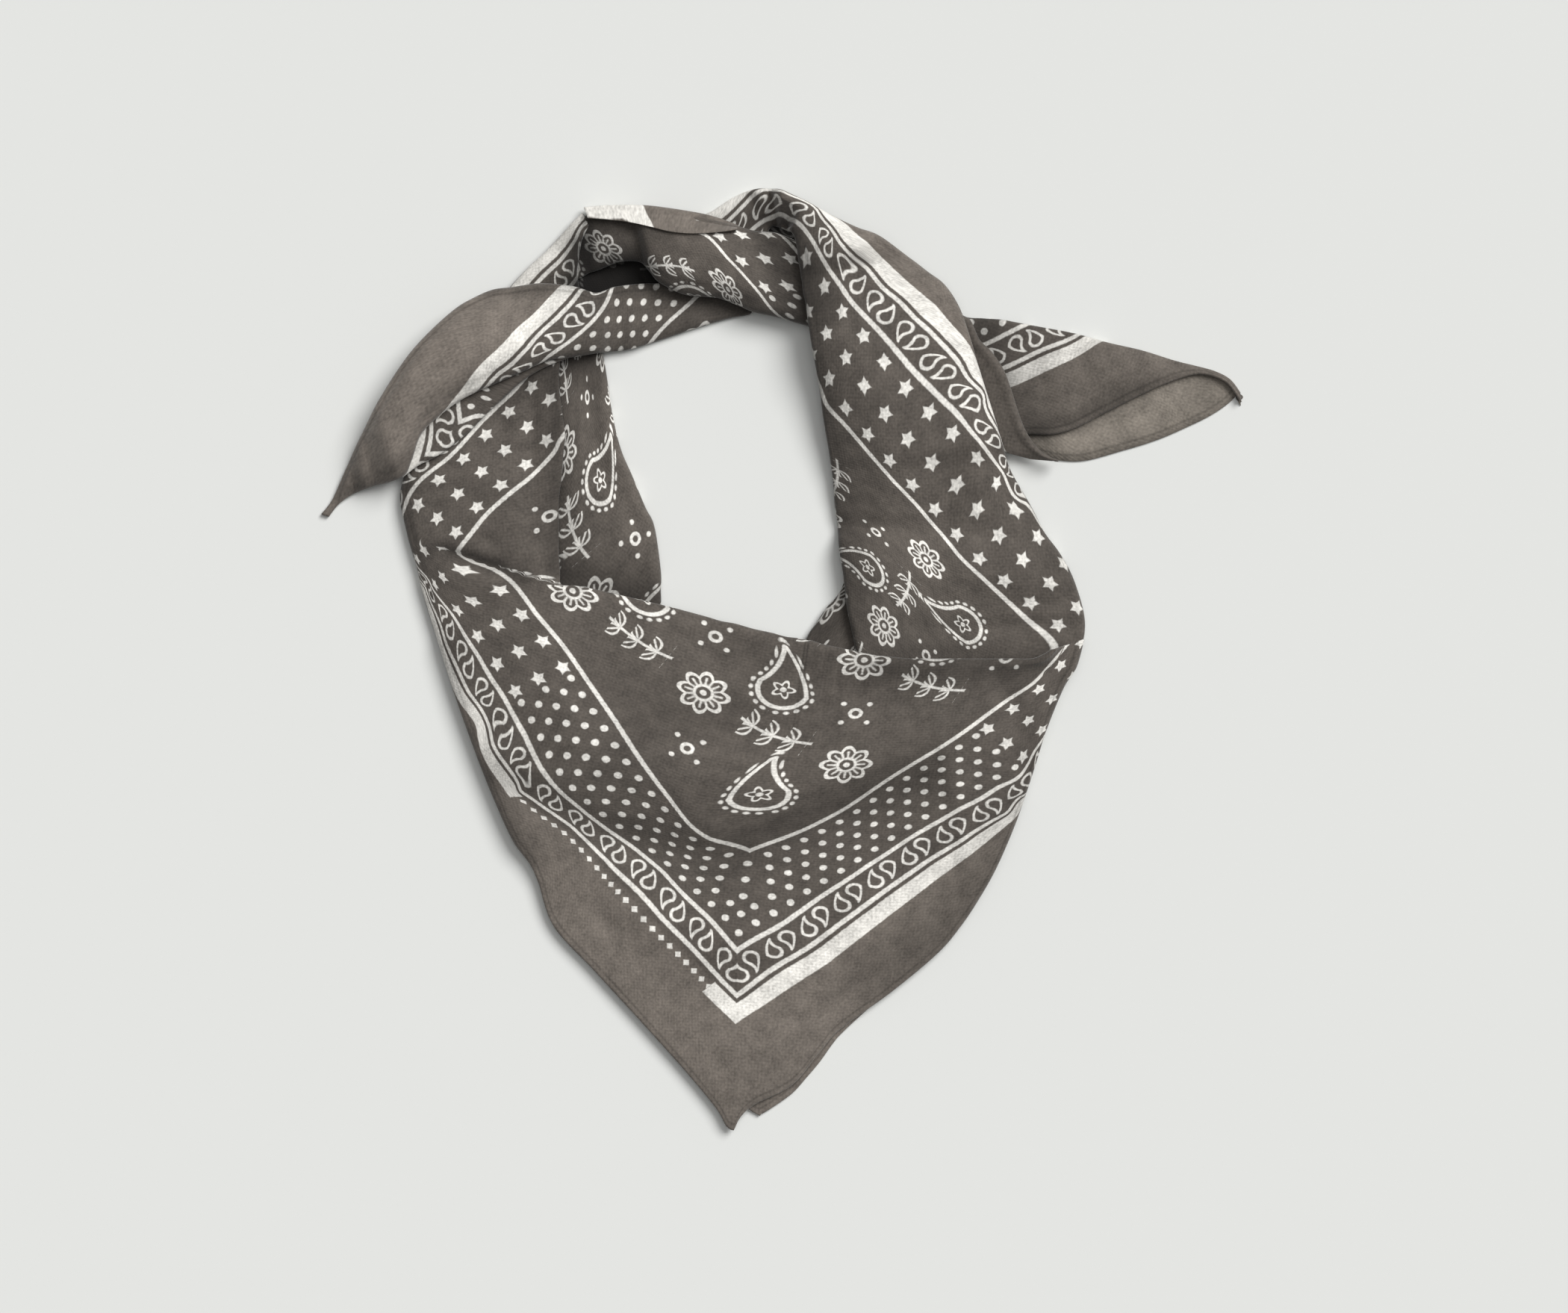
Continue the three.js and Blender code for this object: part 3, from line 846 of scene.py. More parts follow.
    def _dots(self, deep: Field, along: Field) -> Field:
        """Draw five staggered rows of dots, with one row down the mitre of the corner.

        Args:
            deep: distance from the nearest edge.
            along: distance from the next nearest.

        Returns:
            Distance outside the shapes.
        """
        y = deep - self.star_middle
        even_x, even_y = along.within(self.dot_pitch), y.within(self.dot_row * 2)
        odd_x = (along - self.dot_pitch / 2).within(self.dot_pitch)
        odd_y = (y - self.dot_row).within(self.dot_row * 2)
        rows = self._kept_dot(deep, along, even_x, even_y).low(self._kept_dot(deep, along, odd_x, odd_y))
        middle = (along + deep) * 0.5 - self.star_middle
        beside = (along - deep) * 0.5
        mitre = middle.within(self.dot_row).hypot(beside) * math.sqrt(2.0) - self.dot_size
        return rows.low(mitre.high(middle.between(-self.mitre_reach, self.mitre_reach)))

    def _kept_dot(self, deep: Field, along: Field, x: Field, y: Field) -> Field:
        """Draw a dot where its middle is in its band, clear of the mitre and short of the stars.

        Args:
            deep: distance from the nearest edge.
            along: distance from the next nearest.
            x: place from the dot's middle, along the edge.
            y: the same, away from the edge.

        Returns:
            Distance outside the dot.
        """
        place = along - x
        row = deep - y
        kept = row.between(*self.dot_band).high(place - self.star_start).high(row - place + 5.5)
        return (x.hypot(y) - self.dot_size).high(kept)

    def _field(self, a: Field, b: Field, deep: Field) -> Field:
        """Draw the field: paisleys, rosettes and sprigs in a half-drop repeat.

        Args:
            a: distance from one edge.
            b: distance from the other edge.
            deep: distance from the nearest edge.

        Returns:
            Distance outside the shapes.
        """
        up = (a + b) * math.sqrt(0.5)
        side = (a - b) * math.sqrt(0.5)
        x, y, mirror = self._repeat(side, up)
        paisley = self._paisley(*turned(x * mirror, y + 4.0, self.paisley_turn))
        paisley = paisley.high(self._near_frame(a, b, x, y, self.paisley_reach))
        x, y, _ = self._repeat(side + self.cell / 2, up + self.cell / 4)
        rosette = self._rosette(x, y).high(self._near_frame(a, b, x, y, self.rosette_reach))
        x, y, _ = self._repeat(side, up + self.cell / 2)
        sprig = self._sprig(*turned(x, y, self.sprig_turn))
        sprig = sprig.high(self._near_frame(a, b, x, y, self.sprig_reach))
        x, y, _ = self._repeat(side + self.cell / 2, up - self.cell / 4)
        small = (x.hypot(y) - 2.6).high(x.hypot(y) * -1.0 + 1.3).low(
            abs(abs(x) - 4.6).hypot(abs(y) - 4.6) - 1.0
        ).high(self._near_frame(a, b, x, y, self.small_reach))
        return paisley.low(rosette).low(sprig).low(small).high(deep * -1.0 + self.field_start)

    def _repeat(self, side: Field, up: Field) -> Tuple[Field, Field, Field]:
        """Find the nearest motif of a half-drop repeat.

        Args:
            side: place across the repeat, mm.
            up: place along it, mm.

        Returns:
            Place from the motif's middle, across and along, and -1 or 1 in turn.
        """
        column = (side / self.cell).math("ROUND")
        dropped = up + column.math("WRAP", 2.0, 0.0) * (self.cell / 2)
        row = (dropped / self.cell).math("ROUND")
        mirror = (column + row).math("WRAP", 2.0, 0.0) * 2.0 - 1.0
        return side.within(self.cell), dropped.within(self.cell), mirror

    def _near_frame(self, a: Field, b: Field, x: Field, y: Field, reach: float) -> Field:
        """Give how far a motif's middle is too close to the inner line for it to be drawn whole.

        Args:
            a: distance from one edge.
            b: distance from the other edge.
            x: place from the motif's middle, across the repeat.
            y: the same, along the repeat.
            reach: how far the motif reaches from its middle.

        Returns:
            A number above 0 where the motif has to be left out.
        """
        middle_a = a - (x + y) * math.sqrt(0.5)
        middle_b = b - (y - x) * math.sqrt(0.5)
        return (middle_a.low(middle_b) * -1.0 + self.field_start + reach) * 4.0

    def _paisley(self, x: Field, y: Field) -> Field:
        """Draw a drop with a bent tip, a second outline and a rosette in its head.

        Args:
            x: place from the motif's middle.
            y: the same, at right angles.

        Returns:
            Distance outside the shapes.
        """
        tip = y.high(0.0)
        x = x - tip * tip * 0.024
        rise = (y / self.paisley_length).clamp()
        edge = x.hypot(y - rise * self.paisley_length) - self.paisley_head + rise * self.paisley_taper
        angle = x.math("ARCTAN2", y)
        beads = (angle * 8.0).within(2.6).hypot(edge - 2.4) - 0.75
        head = x.hypot(y)
        petals = abs(head - (angle * 5.0).math("COSINE") * 0.9 - 3.0) - 0.5
        return (abs(edge) - 0.85).low(beads).low(petals.low(head - 1.1))

    @staticmethod
    def _rosette(x: Field, y: Field) -> Field:
        """Draw an open rosette with eight petals.

        Args:
            x: place from the motif's middle.
            y: the same, at right angles.

        Returns:
            Distance outside the shapes.
        """
        far = x.hypot(y)
        angle = x.math("ARCTAN2", y)
        petal = abs((angle * 4.0).math("COSINE"))
        outline = abs(far - petal * 2.6 - 6.2) - 0.8
        spokes = (angle * 8.0).math("SINE") * far * 0.12
        inner = abs(far - 3.2) - 0.55
        rays = (abs(spokes) - 0.32).high(abs(far - 5.2) - 1.6)
        return outline.low(inner).low(far - 1.2).low(rays)

    def _sprig(self, x: Field, y: Field) -> Field:
        """Draw a stem with pairs of veined leaves.

        Args:
            x: place from the motif's middle.
            y: the same, at right angles.

        Returns:
            Distance outside the shapes.
        """
        bent = x - y * y * 0.012
        stem = (abs(bent) - 0.6).high(abs(y) - self.sprig_reach)
        along, across = turned(abs(bent), y.within(self.leaf_pitch), 38.0)
        width = ((along - 4.2) * (along - 4.2)) * -0.16 + 2.2
        leaf = (abs(abs(across) - width) - 0.45).high(abs(along - 4.2) - 3.9).low(
            (abs(across) - 0.35).high(abs(along - 3.6) - 2.6)
        )
        return stem.low(leaf.high(abs(y) - 11.4))


@dataclass(frozen=True)
class PrintedCotton:
    """Plain-woven cotton, dyed a warm grey and printed with pigment in off-white.

    The weave is matt with a soft sheen. The pigment sits on the threads and dulls them a little.
    """

    name: str
    ground: str
    pigment: str
    ink_share: float
    border_tone: float = 1.12  # how much paler the plain border is made
    field_darkening: float = 0.4  # how much darker than the border the field is made
    border_end: float = 31.0  # mm, in the middle of the stripe
    hem_seam: float = 2.6  # mm from the edge to the hem's stitches
    thread: float = 0.9  # mm; the real threads are 0.4 mm apart, too fine for the render

    def make(self, printed: BandanaPrint) -> bpy.types.Material:
        """Make the material.

        Args:
            printed: the print that it carries.

        Returns:
            The material.
        """
        material = bpy.data.materials.new(self.name)
        material.use_nodes = True
        tree = material.node_tree
        tree.nodes.clear()
        flat = add_node(tree, "ShaderNodeUVMap", {"uv_map": "print"})
        parts = add_node(tree, "ShaderNodeSeparateXYZ", inputs={0: flat.outputs[0]})
        a = Field(tree, parts.outputs[0]) * SQUARE
        b = Field(tree, parts.outputs[1]) * SQUARE
        cloth = add_node(tree, "ShaderNodeCombineXYZ", inputs={0: a, 1: b})
        # The edge of the pigment is ragged, and it thins where the threads dip.
        wobble = self._noise(tree, cloth, scale=0.6, detail=2.0)
        edge = printed.ink(a, b) + (wobble - 0.5) * 0.5
        ink = (edge / -0.45 + 0.5).clamp() * self.ink_share
        cover = (self._noise(tree, cloth, scale=2.2, detail=3.0) - 0.5) * 0.25 + 0.97
        ink = (ink * cover).clamp()
        # The dyed colour is uneven: broad clouds, blotches and flecks.
        threads = self._threads(a, b)
        cloud = self._noise(tree, cloth, scale=0.03, detail=3.0)
        blotch = self._noise(tree, cloth, scale=0.16, detail=3.0)
        fleck = self._noise(tree, cloth, scale=0.9, detail=2.0)
        tone = (cloud - 0.5) * 0.6 + (blotch - 0.5) * 0.9 + (fleck - 0.5) * 1.0 + threads * 0.06 + 1.0
        hem = add_node(tree, "ShaderNodeAttribute", {"attribute_name": "hem"})
        seam = (abs(Field(tree, hem.outputs["Fac"]) - self.hem_seam) / 0.8).clamp()
        # Painted shade and light: each point's factor darkens the colour in hollows, creases and sheets in
        # shade, and lightens it on some crowns.
        painted_shading = add_node(tree, "ShaderNodeAttribute", {"attribute_name": "painted_shading"})
        tone = tone * (seam * 0.3 + 0.7) * Field(tree, painted_shading.outputs["Fac"])
        deep = a.low(a * -1.0 + SQUARE).low(b.low(b * -1.0 + SQUARE))
        # The ground is made paler over the plain border and darker over the field.
        ground_tone = ((deep - self.border_end) / 4.0).clamp() * -self.field_darkening + self.border_tone
        dyed_ground = add_node(
            tree, "ShaderNodeVectorMath", {"operation": "SCALE"},
            {0: linear(self.ground)[:3], 3: ground_tone},
        )
        colour = add_node(
            tree, "ShaderNodeMix", {"data_type": "RGBA"},
            {0: ink, 6: dyed_ground.outputs[0], 7: linear(self.pigment)},
        )
        shade = add_node(tree, "ShaderNodeCombineXYZ", inputs={0: tone, 1: tone, 2: tone})
        dyed = add_node(
            tree, "ShaderNodeVectorMath", {"operation": "MULTIPLY"},
            {0: colour.outputs[2], 1: shade.outputs[0]},
        )
        rough = ink * -0.06 + 0.86 + (fleck - 0.5) * 0.08
        relief = threads * 0.4 + fleck * 0.6
        bump = add_node(
            tree, "ShaderNodeBump", inputs={"Strength": 0.35, "Distance": 0.0002, "Height": relief}
        )
        surface = add_node(
            tree, "ShaderNodeBsdfPrincipled",
            inputs={
                "Base Color": dyed.outputs[0], "Roughness": rough, "Normal": bump.outputs[0],
                "Sheen Weight": 0.25, "Sheen Roughness": 0.45, "IOR": 1.46,
                "Specular IOR Level": 0.3,
            },
        )
        out = add_node(tree, "ShaderNodeOutputMaterial")
        tree.links.new(surface.outputs[0], out.inputs[0])
        return material

    @staticmethod
    def _noise(tree: bpy.types.NodeTree, cloth: bpy.types.Node, scale: float, detail: float) -> Field:
        """Give a cloudy number over the cloth.

        Args:
            tree: the material's tree.
            cloth: the node that gives the place on the cloth, mm.
            scale: clouds in a millimetre.
            detail: how many finer layers are added.

        Returns:
            A number round 0.5.
        """
        inputs = {"Vector": cloth.outputs[0], "Scale": scale, "Detail": detail}
        node = add_node(tree, "ShaderNodeTexNoise", inputs=inputs)
        return Field(tree, node.outputs[0])

    def _threads(self, a: Field, b: Field) -> Field:
        """Give the height of a plain weave.

        Args:
            a: distance from one edge, mm.
            b: distance from the other edge, mm.

        Returns:
            Heights from -1 to 1.
        """
        turn = math.pi / self.thread
        warp = (a * turn).math("SINE")
        weft = (b * turn).math("SINE")
        return warp * weft


# Lines of the print as they lie, in mm from the middle of the neck line.
BIB_LINES = (
    PrintedLine(True, 49.5, (49.5, 244.5), (
        (-3, -113.5), (-14, -101), (-32, -83), (-43, -74), (-55, -65.5), (-62, -60), (-69, -54),
        (-76.5, -46), (-85, -30), (-94, -14), (-103, 0.5), (-113.5, 17), (-121, 27), (-126, 34))),
    PrintedLine(True, 82.5, (82.5, 235.0), (
        (2, -75), (-7, -72), (-14, -70), (-21.5, -64.5), (-28.5, -55.5), (-39, -41.5), (-49.5, -25.5),
        (-60.5, -9.5), (-71, 5.5), (-81.5, 18), (-90.5, 29.5), (-99.5, 35))),
    PrintedLine(True, 37.0, (37.0, 240.0), (
        (-3, -131), (-14, -119.5), (-32, -101), (-49.5, -83), (-67.5, -65.5), (-80, -56.5), (-87, -51.5),
        (-97.5, -33.5), (-106.5, -14), (-115.5, 5.5), (-123.5, 27))),
    PrintedLine(True, 31.0, (31.0, 147.7), ((-3.5, -138), (-12.5, -129.5), (-49, -91.5), (-86.5, -55.5))),
    PrintedLine(True, 34.5, (151.0, 180.0), ((-88.6, -50.2), (-101.6, -23.8))),
    PrintedLine(True, 28.0, (151.0, 180.0), ((-91.8, -53.1), (-104.3, -25.8))),
    PrintedLine(True, 0.0, (0.0, 121.0), (
        (-5, -183), (-23, -160.5), (-40.5, -141), (-58.5, -121.5), (-74, -104.5), (-80, -89.5))),
    PrintedLine(False, 49.5, (49.5, 195.0), (
        (-3, -113.5), (12.5, -104.5), (30.5, -92), (48, -80.5), (65.5, -69), (83.5, -58.5), (97.5, -50.5),
        (110, -40.5), (115.5, -31.5))),
    PrintedLine(False, 82.5, (82.5, 222.0), (
        (2, -75), (12.5, -71), (21.5, -67.5), (39, -58.5), (56.5, -46.5), (74.5, -35.5), (92.5, -23),
        (101.5, -16.5), (112, -9.5), (119, -1.5))),
    PrintedLine(False, 37.0, (37.0, 186.0), (
        (-3, -131), (12.5, -119.5), (30.5, -108), (48, -95), (65.5, -82.5), (83.5, -71), (101.5, -60),
        (110, -53), (114.5, -42.5))),
    PrintedLine(False, 31.0, (31.0, 171.0), (
        (-3.5, -138), (12.5, -127.5), (30.5, -116), (48, -102.5), (65.5, -89.5), (83.5, -76.5),
        (101.5, -63), (109, -55))),
    PrintedLine(False, 0.0, (0.0, 92.0), (
        (-5, -183), (10.5, -170), (28.5, -153.5), (48, -137.5), (65.5, -123))),
)
LEFT_ARM_LINES = (
    PrintedLine(True, 82.5, (254.0, 313.0), (
        (-112, 40), (-106.5, 47), (-100, 55), (-90, 64), (-82, 70.5), (-77, 75.5), (-73, 80.5), (-72, 83))),
    PrintedLine(True, 49.5, (256.5, 318.5), (
        (-132, 57.5), (-130, 62.5), (-125, 69), (-115.5, 76.5), (-109, 83), (-103, 90), (-96.5, 96.5),
        (-90, 102.5))),
    PrintedLine(True, 110.0, (262.0, 300.0), ((-84, 28), (-76, 40), (-66, 54), (-56, 66))),
)
RIGHT_ARM_LINES = (
    PrintedLine(False, 82.5, (223.0, 365.0), (
        (119, -1.5), (120.5, 3.5), (109, 15), (96.5, 26.5), (83.5, 38.5), (71, 53.5), (58, 67.5),
        (48, 79), (39, 89.5), (31.5, 98), (28.5, 105.5))),
    PrintedLine(False, 49.5, (264.0, 432.0), (
        (114, 53), (109, 59.5), (100, 71), (90, 84), (77.5, 98), (64.5, 111), (52, 125.5), (41.5, 136.5),
        (32.5, 149.5), (27, 159), (21.5, 166.5), (17.5, 169.5), (14, 171.5), (11.5, 171), (7, 169),
        (3, 166))),
    PrintedLine(False, 37.0, (300.0, 455.0), (
        (99, 86.5), (92.5, 100.5), (83.5, 112), (71, 126), (58, 138.5), (45.5, 151.5), (32.5, 166),
        (27.5, 173), (18, 178), (7.5, 181), (5, 180), (-0.5, 175), (-8, 168))),
    PrintedLine(False, 31.0, (316.0, 408.0), (
        (95.5, 99), (90, 109.5), (87.5, 115.5), (80, 124.5), (71, 133.5), (58, 145), (45.5, 157),
        (39, 163), (31.5, 171.5))),
    PrintedLine(False, 28.0, (318.0, 409.0), (
        (98.5, 100.5), (92.5, 111), (84, 124), (73.5, 136), (60, 147.5), (47.5, 159.5), (40.5, 165.5))),
    PrintedLine(False, 18.0, (330.0, 400.0), ((98, 113), (78, 141), (52, 164))),
    PrintedLine(False, 46.0, (272.0, 272.0), ((107, 62.5),)),
    PrintedLine(False, 42.5, (285.0, 285.0), ((102.5, 73),)),
    PrintedLine(False, 39.0, (297.0, 297.0), ((99.5, 83.5),)),
    PrintedLine(False, 150.0, (228.0, 300.0), ((70, -20), (58, 12), (40, 40))),
)
NECK_LINES = (
    PrintedLine(True, 110.0, (262.0, 330.0), ((-84, 28), (-80, 55), (-74, 85), (-70, 110))),
    PrintedLine(True, 160.0, (240.0, 330.0), ((-36, 20), (-40, 50), (-50, 85), (-54, 110))),
    PrintedLine(True, 190.0, (120.0, 200.0), ((40, -10), (0, 0))),
)
KNOT_LINES = (
    PrintedLine(True, 82.5, (480.0, 524.0), (
        (-22.5, 165.5), (-14.5, 162.5), (-7, 154.5), (0.5, 146.5), (10, 135))),
    PrintedLine(True, 60.0, (480.0, 512.0), ((-4, 170), (8, 160), (20, 146))),
    PrintedLine(True, 118.0, (440.0, 500.0), ((-62, 165), (-40, 150), (-12, 138))),
)
RISE_LINES = (
    PrintedLine(True, 37.0, (371.0, 401.0), ((-81, 144.5), (-72, 153), (-65, 162.5), (-63.5, 166))),
    PrintedLine(True, 31.0, (368.0, 404.0), ((-87.5, 144), (-77.5, 155), (-63.5, 171))),
    PrintedLine(True, 66.0, (360.0, 400.0), ((-66, 124), (-50, 150))),
)
LIP_TOP_LINES = (
    PrintedLine(True, 34.5, (410.0, 428.0), ((-60, 170), (-52, 169), (-44, 167.8))),
    PrintedLine(True, 29.5, (410.0, 428.0), ((-62, 177), (-52, 178), (-44, 177))),
    PrintedLine(True, 26.0, (430.0, 442.0), ((-38, 178), (-36, 172), (-33, 166))),
    PrintedLine(True, 15.0, (442.0, 452.0), ((-24, 176), (-20, 166))),
    PrintedLine(True, 6.0, (456.0, 466.0), ((-8, 172), (-2, 165))),
)
LEFT_TAIL_LINES = (
    PrintedLine(False, 49.5, (588.0, 626.0), (
        (-51.5, 143), (-53.5, 138), (-58.5, 130), (-69, 121), (-77, 115))),
    PrintedLine(False, 82.5, (570.0, 590.0), ((-20.5, 138), (-30.5, 129), (-35.5, 123.5))),
    PrintedLine(False, 37.0, (602.0, 640.0), (
        (-66, 138), (-74.5, 129), (-83.5, 119.5), (-90, 113), (-95, 109.5))),
    PrintedLine(False, 31.0, (608.0, 654.0), ((-74, 137), (-86.5, 124.5), (-98, 113), (-106, 103.5))),
    PrintedLine(False, 2.0, (612.0, 700.0), (
        (-97.5, 142), (-112, 134.5), (-128.5, 118.5), (-141.5, 99), (-154.5, 73.5), (-164.5, 55.5))),
)
LEFT_LIP_LINES = (
    PrintedLine(False, 31.0, (652.5, 669.0), ((-126, 89), (-130.5, 72))),
    PrintedLine(False, 37.0, (649.0, 664.0), ((-121.5, 93), (-123, 77.5))),
    PrintedLine(False, 49.5, (641.0, 650.5), ((-111, 100.5), (-110, 91))),
    PrintedLine(False, 57.5, (650.5, 650.5), ((-102, 93.5),)),
    PrintedLine(False, 62.0, (632.0, 620.0), ((-98, 104), (-88, 108))),
)
RIGHT_TAIL_LINES = (
    PrintedLine(False, 650.5, (80.0, 62.0), ((92.5, 121), (109, 129))),
    PrintedLine(False, 663.0, (76.0, 45.0), ((100, 112), (114, 118.5), (128.5, 124.5))),
    PrintedLine(False, 669.0, (77.0, 42.0), ((103.5, 107.5), (119.5, 115), (134.5, 123))),
    PrintedLine(False, 698.0, (80.0, 2.0), (
        (112, 86.5), (128.5, 89), (141, 95.5), (154, 102), (166.5, 107.5), (182, 110.5))),
)
FLAP_LINES = (
    PrintedLine(False, 20.0, (318.0, 372.0), ((100, 98), (88, 118), (62, 140))),
    PrintedLine(False, 6.0, (318.0, 372.0), ((112, 106), (100, 128), (72, 152))),
)


@dataclass
class NeckBand:
    """The inner run of the neck, that comes out again under the front panel."""

    name: str = "neck_cloth"
    sections: Tuple[Section, ...] = cuts(
        dict(low=FLOOR, outer_loft=HEM_LOFT, outer_tuck=HEM_TUCK, inner_loft=NECK_LOFT,
             inner_tuck=NECK_TUCK),
        (-80, 116, -55, 118.5), (-80, 104.5, -53, 105.5), (-80, 93, -51, 92.5), (-80, 81, -48, 80.5),
        (-80, 69.5, -43.5, 70), (-80, 58, -38.5, 58), (-80, 49.5, -35, 50.5), (-78, 32, -32.5, 33),
        (-74, 19, -32.5, 24.5),
        (-64.5, 1.5, -31, 16, dict(low=ON_BACK, inner_loft=NECK_RUN_LOFT)),
        (-43, -16, -21, 11.5), (-11, -20.5, 0.5, 5), (21, -19, 19.5, 3.5), (41.5, -10, 26, 11),
        (53, 8.5, 31.5, 19), (57.5, 26, 37.5, 26.5, dict(low=FLOOR)),
        (56, 42, 40, 38.5),
    )

    def sheets(self) -> List[Sleeve]:
        """Give the band's sheet.

        Returns:
            The sheet.
        """
        return [Sleeve(
            self.name, self.sections, NECK_LINES, flat=(60, 200), area=10900,
            rests_on=("bib_back_cloth",), stands_for=("neck_band",), seed=3, crease_size=26,
            crease_run=1.5, crease_height=0.5,
            folds=(Fold(((-74, 112), (-68, 80), (-62, 50), (-58, 24)), 1.2, 7.0),
                   Fold(((-62, 112), (-58, 84), (-52, 60)), -1.4, 5.0)),
            # Painted shade along the band's edges and under the panel, and painted light on its ridge.
            shading_spots=(Fold(((-74, 112), (-74, 34)), -0.45, 6.0), Fold(((-72, 32), (-34, 22)), -0.5, 9.0),
                 Fold(((-66, 118), (-54, 118)), -0.5, 8.0), Fold(((28, 8), (40, 30)), -0.45, 10.0),
                 Fold(((-54, 96), (-42, 50)), 0.25, 9.0)),
        )]


